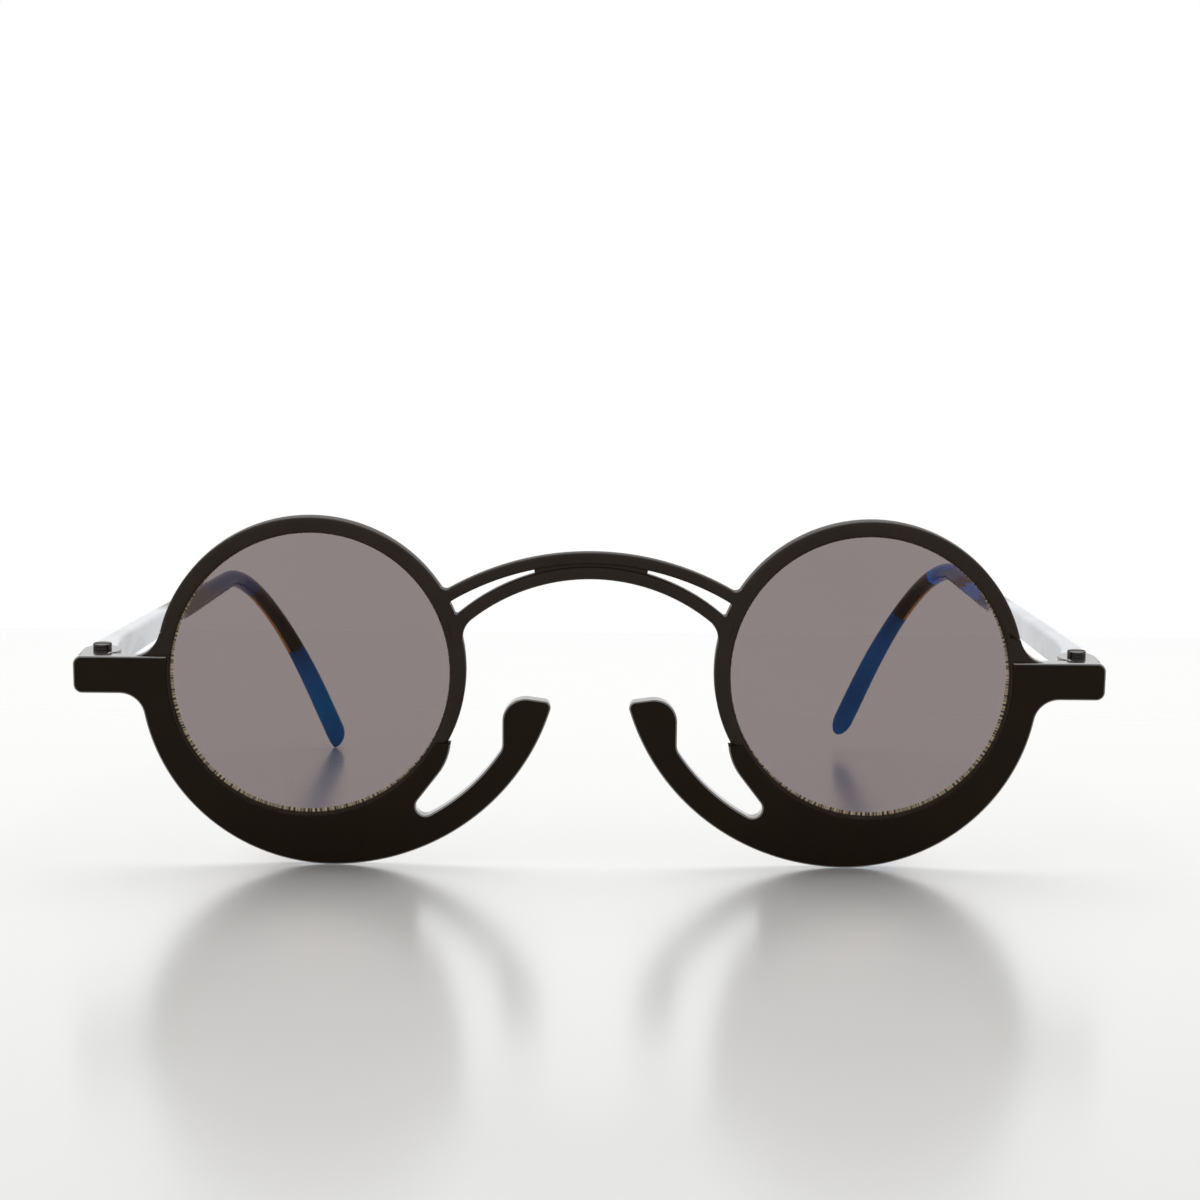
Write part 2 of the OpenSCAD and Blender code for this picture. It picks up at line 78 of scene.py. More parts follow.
def angle(name, degrees, description):
    """An angle property, its default in degrees."""
    return bpy.props.FloatProperty(
        name=name, description=description, default=math.radians(degrees), subtype="ANGLE")


def colour(name, code, description):
    """A colour property, its default an sRGB hex code."""
    return bpy.props.FloatVectorProperty(
        name=name, description=description, default=linear(code), size=3, min=0, max=1,
        subtype="COLOR")


class FrontSizes(bpy.types.PropertyGroup):
    """Sizes of the front, its lenses and its hinges."""
    opening_r: length("Opening radius", 18, "Radius of each lens opening")
    lens_x: length("Lens centre", 35.65, "Distance from the middle to a lens centre")
    crescent_drop: length("Crescent drop", 5.8, "Width of the crescent below the ring")
    ring_w: length("Ring width", 1.8, "Radial width of each ring")
    ring_t: length("Ring thickness", 2.6, "Front to back thickness of each ring")
    ring_set: length("Ring depth", 0.4, "Depth of the ring's face behind the plate's face")
    ring_round: length("Ring corner", 0.5, "Corner radius of the ring's section")
    plate_t: length("Plate thickness", 1.8, "Thickness of the crescent plate")
    plate_edge: length("Plate edge", 0.2, "Radius of the plate's polished edges")
    ring_bare: length("Bare ring", 0.35, "Width of the ring's face left bare at the opening")
    outboard_r: length("Outboard radius", 24.4, "Radius of the crescent on the temple side")
    inboard_r: length("Inboard radius", 29.2, "Radius of the crescent on the nose side")
    crescent_shift: length("Crescent shift", 2.65, "Shift of both arcs towards the nose")
    step_drop: length("Step drop", 9.4, "Depth at which the plate ends on the nose side")
    arm_w: length("Nose arm width", 3.5, "Width of the nose arm")
    pad_x: length("Pad side", 11.2, "Distance from the middle to the pad's outer side")
    pad_drop: length("Pad drop", 3.4, "Depth of the pad's top below the lens centre")
    pad_round: length("Pad corner", 3, "Radius of the pad's large top corner")
    pad_tip_round: length("Pad tip", 0.9, "Radius of the pad's corner at the nose")
    pad_tip_drop: length("Pad tip drop", 0.3, "Drop of the pad's top towards the nose")
    pad_hollow: length("Pad hollow", 2, "Radius of the hollow between pad and arm")
    gap_end_r: length("Gap end", 1.25, "Radius of the rounded end of the gap beside the arm")
    gap_end_angle: angle("Gap end angle", -119.2, "Place of the gap's end round the inner arc")
    gap_slope: angle("Gap slope", 37.3, "Slope of the gap's outer side")
    gap_side: length("Gap side", 4.4, "Length of the gap's straight side")
    gap_bend_r: length("Gap bend", 8, "Radius at the top of the gap's outer side")
    bridge_top: length("Bridge top", 15.55, "Height of the bridge above the lens centres")
    bridge_top_r: length("Bridge top radius", 36.1, "Radius of the bridge's top edge")
    upper_bar_w: length("Upper bar", 1.55, "Width of the upper bar")
    bridge_low: length("Bridge low", 12.05, "Height of the bridge's lower edge")
    bridge_low_r: length("Bridge low radius", 24.15, "Radius of the bridge's lower edge")
    lower_bar_w: length("Lower bar", 1.7, "Width of the lower bar")
    bar_t: length("Bar thickness", 1.8, "Front to back thickness of both bars")
    bar_round: length("Bar corner", 0.5, "Corner radius of the bars' section")
    top_hollow: length("Bridge top hollow", 0.9, "Radius between the bridge's top and the ring")
    low_hollow: length("Bridge low hollow", 3, "Radius between the bridge's low edge and the ring")
    slot_round: length("Slot corner", 0.35, "Radius of the slot's corners at the ring")
    web_half: length("Web half length", 7.2, "Half length of the web between the bars")
    web_set: length("Web depth", 0.35, "Depth of the web behind the bars' faces")
    front_w: length("Front width", 131.8, "Width of the whole front")
    end_h: length("Endpiece height", 4.85, "Height of the endpiece")
    end_top: length("Endpiece top", 1.75, "Height of its top above the lens centre")
    end_round: length("Endpiece corner", 1.1, "Corner radius of the endpiece")
    end_hollow: length("Low hollow", 3.2, "Radius between endpiece and crescent")
    end_hollow_top: length("Top hollow", 3.8, "Radius between endpiece and ring")
    pin_inset: length("Pin inset", 3.1, "Distance from the end to the hinge axis")
    lug_r: length("Lug radius", 2.5, "Radius of the hinge lugs")
    lug_h: length("Lug height", 1.5, "Height of each lug")
    shank_r: length("Shank radius", 0.7, "Radius of the screw's shank")
    head_r: length("Head radius", 1.2, "Radius of the screw's head")
    head_h: length("Head height", 0.75, "Height of the screw's head")
    lens_bevel: length("Lens bevel", 0.42, "Width of the ground bevel at its widest")
    thin_bevel: length("Thin bevel", 0.06, "Width of the ground bevel at its narrowest")
    bevel_side: angle("Bevel side", 305, "Side of the lens where the bevel is widest")
    open_side: angle("Widest side", 285, "Side where the real opening reaches furthest")
    open_all: length("Opening growth", 0.13, "Growth of the opening on all sides")
    open_shift: length("Opening shift", 0.62, "Shift of the opening towards its widest side")
    open_oval: length("Opening oval", 0.28, "Growth of the opening on two opposite sides")
    lens_t: length("Lens thickness", 1.6, "Thickness of each lens")
    lens_set: length("Lens depth", 1.2, "Depth of the lens's front edge")
    lens_curve_r: length("Lens curve", 132, "Radius of the lens's front curve")
    groove_d: length("Groove depth", 0.6, "Depth of the groove that holds the lens")
    groove_w: length("Groove width", 1, "Width of the groove at its mouth")


class TempleSizes(bpy.types.PropertyGroup):
    """Sizes of the temples, and the places of the joints between their blocks."""
    straight_l: length("Straight", 86, "Length of the straight stretch")
    bend_r: length("Bend radius", 31, "Radius of the bend behind the ear")
    bend_angle: angle("Bend", 80, "Angle of the bend")
    tip_l: length("Tip length", 10, "Length of the straight tip")
    left_splay: angle("Left splay", 4.2, "Inward slope of the open left temple")
    right_splay: angle("Right splay", 3.5, "Inward slope of the open right temple")
    left_droop: angle("Left droop", 4, "Downward slope of the left temple")
    right_droop: angle("Right droop", 2.7, "Downward slope of the right temple")
    curl: angle("Curl", 22.3, "Turn of the bend towards the head")
    temple_w: length("Thickness", 2.3, "Thickness behind the flare")
    temple_h: length("Height", 3.7, "Height behind the flare")
    flare_l: length("Flare", 14, "Length of the flare behind the hinge")
    taper_start: length("Taper start", 30, "Distance at which the temple starts to taper")
    bend_d: length("Bend diameter", 2.7, "Diameter of the round stretch")
    tip_w: length("Tip width", 3.3, "Width of the rounded tip")
    tip_t: length("Tip thickness", 2.6, "Thickness of the rounded tip")
    tip_round: length("Tip round", 3.2, "Length over which the tip closes")
    left_trim: length("Left trim", 0.35, "Length that the slanting cut takes off the left tip")
    right_trim: length("Right trim", 0, "Length that the cut takes off the right tip")
    left_cut: length("Left cut", 1.2, "Sideways shift of the left tip's end, which is cut aslant")
    right_cut: length("Right cut", 0, "Sideways shift of the right tip's end")
    lug_gap: length("Lug gap", 0.25, "Gap between the lugs and the hollow end")
    knuckle_gap: length("Knuckle gap", 0.05, "Clearance above and below the knuckle")
    left_black: length("Left black", 100, "Start of the left temple's black block")
    left_blue: length("Left blue", 119, "Start of the left temple's blue tip")
    right_stripe: length("Right stripe", 91, "Start of the right temple's blue stripe")
    right_black: length("Right black", 98, "Start of the right temple's black block")
    right_navy: length("Right navy", 113, "Start of the right temple's navy tip")


class Finishes(bpy.types.PropertyGroup):
    """Colours of the materials."""
    plate: colour("Plate", "#1b1207", "Satin plate of the front")
    ring: colour("Rings and bridge", "#271d16", "Matt rings and bridge")
    tint: colour("Lens tint", "#8c8282", "Light that the lens lets through")
    ground_edge: colour("Ground lens edge", "#b5a48c", "Ground edge of the lens")
    # The near-white of pale is painted reflection: it stands in for the grazing gloss of the long
    # blocks near the hinge.
    pale: colour("Pale acetate", "#eceff3", "Long blocks near the hinge")
    lavender: colour("Lavender acetate", "#3d4579", "Left temple's long block")
    mauve: colour("Mauve acetate", "#6a6e98", "Right temple's long block")
    sky: colour("Sky acetate", "#6890f3", "Blue wedge in the right temple's long block")
    plum: colour("Plum acetate", "#67515c", "Dark stretches of the long blocks")
    brown_patch: colour("Brown patch", "#6f5c41", "Brown stretch of the left long block")
    black: colour("Black acetate", "#3f342a", "Black blocks")
    # A painted glow along the lower outer side of the black blocks, as if lit through from behind.
    amber_glow: colour("Amber acetate", "#e09a4c", "Thin layer along the black blocks")
    speck: colour("Specks", "#e8e4de", "Small pale specks in all the acetate")
    blue: colour("Blue acetate", "#2c80c4", "Middle of the left tip")
    mid_blue: colour("Mid blue acetate", "#4f70c8", "Start of the right stripe")
    bright_blue: colour("Bright blue acetate", "#2d8cff", "End of the right stripe")
    navy: colour("Navy acetate", "#36558a", "Start of both tips")
    deep_blue: colour("Deep blue acetate", "#3a70b8", "Both tips")
    steel: colour("Steel", "#a9a8a4", "Wire cores")
    black_steel: colour("Black steel", "#3b3836", "Hinge screws")
    brass: colour("Brass", "#b08d4a", "Hinge inserts")
    table: colour("Table", "#fafaf7", "Satin white table under the glasses")


# Plane geometry. A plane point is (sideways, upwards) in the plane of the front.

def unit(a):
    """Unit vectors at an angle, in radians."""
    return np.stack([np.cos(a), np.sin(a)], axis=-1)


def heading(v):
    """Angle of a plane vector from the sideways axis, in radians."""
    return math.atan2(v[1], v[0])


def meet(c1, r1, c2, r2, side):
    """Where two circles meet, on the left (1) or right (-1) of the line from first to second."""
    gap = np.subtract(c2, c1)
    d = np.hypot(*gap)
    u = gap / d
    along = (d * d + r1 * r1 - r2 * r2) / (2 * d)
    return c1 + along * u + side * math.sqrt(r1 * r1 - along * along) * np.array([-u[1], u[0]])


def arc(c, r, a0, a1, sagitta=0.004 * MM):
    """Points on an arc, spaced so that no chord lies more than the sagitta from it."""
    n = max(3, math.ceil(abs(a1 - a0) / (2 * math.acos(1 - sagitta / r))))
    return c + r * unit(np.linspace(a0, a1, n + 1))


def joined_up(*parts, least=0.01 * MM):
    """One closed outline from its stretches, without points that lie less than the least step
    before the next one."""
    points = np.concatenate(parts)
    step = np.linalg.norm(points - np.roll(points, -1, axis=0), axis=1)
    return points[step > least]


def opened(points, layout):
    """The real openings reach further at their lower outer side. Points move away from the lens
    centre by a + b cos(t) + c cos(2t), with t measured from that side. The move grows with the
    cube of the radius up to the opening, and falls off in line from there to the ring's edge."""
    s = layout.s
    x, z = points[..., 0] - layout.lens_c[0], points[..., 2] - layout.lens_c[1]
    r = np.maximum(np.hypot(x, z), 1e-9)
    t = np.arctan2(z, x) - s.open_side
    move = s.open_all + s.open_shift * np.cos(t) + s.open_oval * np.cos(2 * t)
    share = np.minimum(np.clip(r / s.opening_r, 0, 1) ** 3,
                       np.clip((layout.ring_r - r) / s.ring_w, 0, 1))
    scale = 1 + move * share / r
    return np.stack([layout.lens_c[0] + x * scale, points[..., 1],
                     layout.lens_c[1] + z * scale], -1)


def tangent_normal(c1, r1, c2, r2):
    """Direction of the shared tangent's normal over two circles."""
    gap = np.subtract(c1, c2)
    return heading(gap) + math.acos((r2 - r1) / np.hypot(*gap))


class Layout:
    """Centres that several pieces of the front share, worked out from the sizes."""

    def __init__(self, s):
        self.s = s
        self.ring_r = s.opening_r + s.ring_w
        self.lens_c = np.array([s.lens_x, s.crescent_drop + self.ring_r])
        self.end_top_z = self.lens_c[1] + s.end_top
        self.end_low_z = self.end_top_z - s.end_h
        self.end_x = s.front_w / 2
        self.pin = np.array([self.end_x - s.pin_inset, s.plate_t + s.lug_r, self.end_top_z])
        self.top_c = np.array([0, self.lens_c[1] + s.bridge_top - s.bridge_top_r])
        self.low_c = np.array([0, self.lens_c[1] + s.bridge_low - s.bridge_low_r])


def standing(points):
    """Turns points (sideways, depth, upwards) of the front by its lean, then sets them on the
    floor so that the hinge axis passes through the joint's place in the frame."""
    layout = Layout(bpy.context.scene.glasses_front)
    x, d, z = np.moveaxis(points, -1, 0)
    pin_d, pin_z = layout.pin[1], (layout.end_top_z + layout.end_low_z) / 2
    y = d * math.cos(LEAN) - z * math.sin(LEAN)
    up = z * math.cos(LEAN) + d * math.sin(LEAN)
    hinge = HINGES["right_hinge"]["pos_m"]
    y += hinge[1] - (pin_d * math.cos(LEAN) - pin_z * math.sin(LEAN))
    up += hinge[2] - (pin_z * math.cos(LEAN) + pin_d * math.sin(LEAN))
    return np.stack([x, y, up], axis=-1)


# Surfaces

def carried(outline, profile, share=1.0):
    """Rings of a closed outline. Each profile row moves the outline inwards along the mitre of
    its corners by the first value, times each point's share, and sets it at the depth of the
    second."""
    before = outline - np.roll(outline, 1, axis=0)
    after = np.roll(outline, -1, axis=0) - outline
    n0, n1 = (np.stack([-e[:, 1], e[:, 0]], -1) / np.linalg.norm(e, axis=1)[:, None]
              for e in (before, after))
    mitre = (n0 + n1) * (share / (1 + np.sum(n0 * n1, axis=1)))[:, None]
    flat = outline[None] + profile[:, None, :1] * mitre[None]
    depth = np.broadcast_to(profile[:, 1][:, None], flat.shape[:2])
    return np.stack([flat[..., 0], depth, flat[..., 1]], axis=-1)


def faded(outline, layout, reach=1.2 * MM, least=0.1):
    """Share of an edge's rounding that each point keeps: all of it where a point lies the reach
    or more outside the rings, falling in line to the least share where a bar or a fillet runs
    into a ring."""
    far = np.hypot(np.abs(outline[:, 0]) - layout.lens_c[0], outline[:, 1] - layout.lens_c[1])
    return np.clip((far - layout.ring_r) / reach, least, 1)


def rounded_edge(front, back, r, steps=4):
    """Profile of a slab whose two edges are quarter circles of radius r, from its front face,
    over its side, to its back face, with narrow strips that keep the faces flat."""
    hold = r / 3
    turn = np.linspace(0, QUARTER, steps + 1)
    first = np.stack([r - r * np.sin(turn), front + r - r * np.cos(turn)], -1)
    last = np.stack([first[::-1, 0], front + back - first[::-1, 1]], -1)
    return np.concatenate([
        [[r + hold, front]], first, [[0, front + r + hold], [0, back - r - hold]], last,
        [[r + hold, back]]])


def revolved(section, centre, n=360):
    """Rings round an axis that runs from front to back: each section row is a radius and a
    depth, and a point is centre + radius * (cos, sin) at that depth."""
    turn = unit(np.linspace(0, FULL, n, endpoint=False))
    flat = centre + section[:, None, :1] * turn[None]
    depth = np.broadcast_to(section[:, 1][:, None], flat.shape[:2])
    return np.stack([flat[..., 0], depth, flat[..., 1]], axis=-1)


def skin(rows, joined=False, ladder=False):
    """Quads over a grid of closed rings. The last ring is joined to the first, or both ends are
    closed by one face each, or by a ladder of quads between the ring's two halves."""
    m, n = rows.shape[:2]
    k = np.arange(m if joined else m - 1)[:, None]
    i = np.arange(n)[None]
    j = (i + 1) % n
    up = (k + 1) % m
    faces = np.stack([k * n + i, k * n + j, up * n + j, up * n + i], -1).reshape(-1, 4).tolist()
    if ladder:
        rung = np.arange(n // 2 - 1)
        steps = np.stack([rung, rung + 1, n - 2 - rung, n - 1 - rung], -1)
        faces += steps.tolist() + (steps + (m - 1) * n).tolist()
    elif not joined:
        faces += [list(range(n))[::-1], list(range((m - 1) * n, m * n))]
    return rows.reshape(-1, 3), faces


def resampled(points, n):
    """The same line with n points, spaced evenly along it."""
    step = np.linalg.norm(np.diff(points, axis=0), axis=1)
    far = np.concatenate([[0], np.cumsum(step)])
    at = np.linspace(0, far[-1], n)
    return np.stack([np.interp(at, far, points[:, 0]), np.interp(at, far, points[:, 1])], -1)


def about_pin(outline, profile, layout, low=0.0):
    """A slab about the hinge axis. Its outline lies level, and the profile's depths are heights
    above the low one."""
    x, h, y = np.moveaxis(carried(outline, profile), -1, 0)
    return skin(np.stack([x + layout.pin[0], y + layout.pin[1], h + low], -1))


def polished_sides(profile, where):
    """The finish of each face of a slab: 1 on its sides and their rounding, where the outline's
    points say so, and 0 on the rest."""
    strips = np.array([0, *[1] * (len(profile) - 3), 0])[:, None]
    return np.concatenate([(strips * where).ravel(), [0, 0]])


def solid(name, parts, finishes, body, replaces, sharp=35, facet=None, marks=None):
    """One closed piece from (points, faces) parts in the front's place. facet picks each
    face's finish, and marks are named values stored on each point. Edges sharper than sharp
    degrees are shaded as edges."""
    points, faces = [], []
    for part_points, part_faces in parts:
        faces += [[i + len(points) for i in f] for f in part_faces]
        points += standing(part_points).tolist()
    mesh = bpy.data.meshes.new(name)
    mesh.from_pydata(points, [], faces)
    for key, values in (marks or {}).items():
        layer = mesh.attributes.new(key, "FLOAT", "POINT")
        layer.data.foreach_set("value", np.ascontiguousarray(values, dtype=np.float32).ravel())
    if facet is not None:
        mesh.polygons.foreach_set("material_index", np.array(facet, dtype=np.int32))
    work = bmesh.new()
    work.from_mesh(mesh)
    bmesh.ops.remove_doubles(work, verts=work.verts, dist=1e-7)
    bmesh.ops.recalc_face_normals(work, faces=work.faces)
    work.to_mesh(mesh)
    work.free()
    for finish in finishes:
        mesh.materials.append(material(finish))
    mesh.shade_smooth()
    mesh.set_sharp_from_angle(angle=math.radians(sharp))
    piece = bpy.data.objects.new(name, mesh)
    bpy.context.scene.collection.objects.link(piece)
    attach(piece, body)
    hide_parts(*replaces)


def front_piece(name, parts, finishes, facet=None):
    """A piece of the moulded front, which is one solid in the frame."""
    solid(name, parts, finishes, "front", ["front_frame"], facet=facet)


def mirrored(part, side):
    """A part in its place on the left (-1) or right (1)."""
    points, faces = part
    return points * np.array([side, 1, 1]), faces


# Materials

def add(tree, kind, inputs=None, **settings):
    """Adds a node, makes its settings, and links or fills its inputs."""
    node = tree.nodes.new(kind)
    for key, value in settings.items():
        setattr(node, key, value)
    for key, value in (inputs or {}).items():
        if isinstance(value, bpy.types.NodeSocket):
            tree.links.new(value, node.inputs[key])
        else:
            node.inputs[key].default_value = value
    return node


def start(name):
    """An empty material's node tree with its Principled shader, and its Object coordinates."""
    material = bpy.data.materials.new(name)
    material.use_nodes = True
    tree = material.node_tree
    shader = tree.nodes["Principled BSDF"]
    place = add(tree, "ShaderNodeTexCoord").outputs["Object"]
    return material, tree, shader, place


def fill(tree, shader, **inputs):
    """Sets or links inputs of the shader. Underscores in the names stand for spaces."""
    for key, value in inputs.items():
        socket = shader.inputs[key.replace("_", " ")]
        if isinstance(value, bpy.types.NodeSocket):
            tree.links.new(value, socket)
        else:
            socket.default_value = value


def rgba(c):
    """A colour with full alpha."""
    return (*c, 1)


def set_stops(ramp, stops):
    """Gives a colour ramp its stops, each a place and a colour."""
    elements = ramp.color_ramp.elements
    for index, (place, tone) in enumerate(stops):
        stop = elements[index] if index < 2 else elements.new(1.0)
        stop.position, stop.color = place, rgba(tone)


def grain(tree, place, size, depth, strength=1.0, detail=3):
    """A bump from noise whose grains are about size across and depth deep."""
    noise = add(tree, "ShaderNodeTexNoise",
                {"Vector": place, "Scale": 1 / size, "Detail": detail, "Roughness": 0.6})
    return add(tree, "ShaderNodeBump",
               {"Height": noise.outputs["Fac"], "Distance": depth, "Strength": strength})


def moulded_nylon(name, base, roughness, specular, coat=0.0):
    """Satin moulded nylon: the tool's fine texture scatters the light, and faint flow marks
    change its depth of colour. Where the edges are polished, a coat adds the gloss."""
    flow_size, flow_depth, rough_spread = 6 * MM, 0.12, 0.04
    # Grains are drawn 0.12 mm across, coarser than the real 0.02 mm, to show at this scale.
    grain_size, grain_depth = 0.12 * MM, 0.004 * MM
    material, tree, shader, place = start(name)
    flow = add(tree, "ShaderNodeTexNoise",
               {"Vector": place, "Scale": 1 / flow_size, "Detail": 4, "Roughness": 0.55})
    shade = add(tree, "ShaderNodeMapRange",
                {"Value": flow.outputs["Fac"], "From Min": 0.3, "From Max": 0.7,
                 "To Min": 1 - flow_depth, "To Max": 1 + flow_depth})
    body = add(tree, "ShaderNodeVectorMath", {0: base, 1: shade.outputs["Result"]},
               operation="MULTIPLY")
    rough = add(tree, "ShaderNodeMapRange",
                {"Value": flow.outputs["Fac"], "To Min": roughness - rough_spread,
                 "To Max": roughness + rough_spread})
    bump = grain(tree, place, grain_size, grain_depth, 0.5)
    fill(tree, shader, Base_Color=body.outputs["Vector"], Roughness=rough.outputs["Result"],
         Specular_IOR_Level=specular, Coat_Weight=coat, Coat_Roughness=0.12, Coat_IOR=1.8,
         Normal=bump.outputs["Normal"])
    return material


def tinted_lens(base):
    """Polished tinted polycarbonate, coated against reflections: clear, with a tint in its mass
    that drifts a little from place to place. The photo shows hardly any reflection in it, so
    its IOR is matched to that, well below the plain material's 1.58."""
    drift_size, drift_depth = 30 * MM, 0.03
    material, tree, shader, place = start("polished_tinted_polycarbonate")
    drift = add(tree, "ShaderNodeTexNoise",
                {"Vector": place, "Scale": 1 / drift_size, "Detail": 1})
    tint = add(tree, "ShaderNodeMixRGB",
               {"Fac": drift.outputs["Fac"],
                "Color1": rgba([c * (1 - drift_depth) for c in base]),
                "Color2": rgba([c * (1 + drift_depth) for c in base])})
    fill(tree, shader, Base_Color=tint.outputs["Color"], Roughness=0.0, IOR=1.08,
         Transmission_Weight=1.0)
    return material


def ground_lens_edge(base):
    """Ground edge of the lens: the wheel leaves it white and ribbed across. A painted glow, emission
    at
    0.2 of its colour, stands in for the light that runs through the lens and comes out at it, and
    the dark furrows between the ribs are painted shade. Ribs are noise along the edge alone."""
    rib_size, rib_depth, furrow_shade = 0.3 * MM, 0.05 * MM, 0.05
    material, tree, shader, place = start("wheel_ground_lens_edge")
    along = add(tree, "ShaderNodeAttribute", attribute_name="along").outputs["Fac"]
    ribs = add(tree, "ShaderNodeTexNoise",
               {"W": along, "Scale": 1 / rib_size, "Detail": 2}, noise_dimensions="1D")
    tone = add(tree, "ShaderNodeValToRGB", {"Fac": ribs.outputs["Fac"]})
    # The furrows' near-black colour is painted shade between the ribs.
    set_stops(tone, [(0.42, [c * furrow_shade for c in base]), (0.58, base)])
    bump = grain(tree, place, rib_size, rib_depth)
    # The emission is a painted glow for the light that comes out at the edge.
    fill(tree, shader, Base_Color=tone.outputs["Color"], Roughness=0.6,
         Emission_Color=tone.outputs["Color"], Emission_Strength=0.2,
         Normal=bump.outputs["Normal"])
    return material


def laminated_acetate(name, stretches, patch, strength, size, slant=0.0, amber_glow=0.0):
    """Polished cellulose acetate cut from a laminated block. Its colour changes along the
    temple at the given distances, in millimetres, at joints that lean by the slant, also in
    millimetres, from the middle to the top. Clouds of a second colour, of the given strength
    and size, and small pale specks lie in the mass. amber_glow is the share of a painted amber
    glow along the lower outer side, standing in for backlight through the thin edge: it shows
    where out - glow_drop * up comes near its peak."""
    looks = bpy.context.scene.glasses_finishes
    glow_drop, glow_start, glow_full = 0.466, 0.78, 0.95
    speck_gap, speck_r, speck_edge, speck_share = 2.4 * MM, 0.03, 0.05, 0.8
    wave_size, wave_depth = 3 * MM, 0.004 * MM
    material, tree, shader, place = start(name)
    along, out, up = (add(tree, "ShaderNodeAttribute", attribute_name=key).outputs["Fac"]
                      for key in ("along", "out", "up"))
    cloud = add(tree, "ShaderNodeTexNoise",
                {"Vector": place, "Scale": 1 / size, "Detail": 3, "Distortion": 0.8})
    leaning = add(tree, "ShaderNodeMath", {0: up, 1: slant * MM, 2: along},
                  operation="MULTIPLY_ADD")
    low, high = stretches[0][0] * MM, stretches[-1][0] * MM
    share = add(tree, "ShaderNodeMapRange", {"Value": leaning.outputs[0], "From Min": low,
                                             "From Max": high})
    ramp = add(tree, "ShaderNodeValToRGB", {"Fac": share.outputs["Result"]})
    set_stops(ramp, [((at * MM - low) / (high - low), tone) for at, tone in stretches])
    mask = add(tree, "ShaderNodeMapRange",
               {"Value": cloud.outputs["Fac"], "From Min": 0.5, "From Max": 0.62,
                "To Max": strength}, interpolation_type="SMOOTHSTEP")
    clouded = add(tree, "ShaderNodeMixRGB", {"Fac": mask.outputs["Result"],
                                             "Color1": ramp.outputs["Color"],
                                             "Color2": rgba(patch)})
    # Painted glow: layer is the mask of the lower outer side, where the colour turns amber as if lit
    # from behind.
    side = add(tree, "ShaderNodeMath", {0: up, 1: -glow_drop, 2: out},
               operation="MULTIPLY_ADD")
    layer = add(tree, "ShaderNodeMapRange",
                {"Value": side.outputs[0], "From Min": glow_start, "From Max": glow_full,
                 "To Max": amber_glow})
    glowing = add(tree, "ShaderNodeMixRGB", {"Fac": layer.outputs["Result"],
                                             "Color1": clouded.outputs["Color"],
                                             "Color2": rgba(looks.amber_glow)})
    specks = add(tree, "ShaderNodeTexVoronoi", {"Vector": place, "Scale": 1 / speck_gap})
    dot = add(tree, "ShaderNodeMapRange",
              {"Value": specks.outputs["Distance"], "From Min": speck_r,
               "From Max": speck_edge, "To Min": speck_share, "To Max": 0.0})
    speckled = add(tree, "ShaderNodeMixRGB", {"Fac": dot.outputs["Result"],
                                              "Color1": glowing.outputs["Color"],
                                              "Color2": rgba(looks.speck)})
    bump = grain(tree, place, wave_size, wave_depth, 0.3)
    fill(tree, shader, Base_Color=speckled.outputs["Color"], Roughness=0.2, IOR=1.48,
         Specular_IOR_Level=0.12, Normal=bump.outputs["Normal"])
    return material


def turned_metal(name, base, roughness):
    """Turned metal: fine rings from the tool round the hinge's axis, which catch the light in
    lines, and patches where handling has dulled it."""
    # Rings are drawn 0.79 mm apart, coarser than the real 0.1 mm, to show at this scale. The
    # wave texture repeats every 2 pi / (20 * scale).
    ring_gap, ring_depth, patch_size = 0.79 * MM, 0.004 * MM, 0.8 * MM
    brighter, duller = 0.08, 0.1
    material, tree, shader, place = start(name)
    rings = add(tree, "ShaderNodeTexWave",
                {"Vector": place, "Scale": FULL / (20 * ring_gap), "Distortion": 0.6,
                 "Detail": 2}, bands_direction="Z")
    bump = add(tree, "ShaderNodeBump",
               {"Height": rings.outputs["Fac"], "Distance": ring_depth, "Strength": 0.6})
    worn = add(tree, "ShaderNodeTexNoise",
               {"Vector": place, "Scale": 1 / patch_size, "Detail": 4})
    rough = add(tree, "ShaderNodeMapRange",
                {"Value": worn.outputs["Fac"], "To Min": roughness - brighter,
                 "To Max": roughness + duller})
    fill(tree, shader, Base_Color=rgba(base), Metallic=1.0, Roughness=rough.outputs["Result"],
         Normal=bump.outputs["Normal"])
    return material


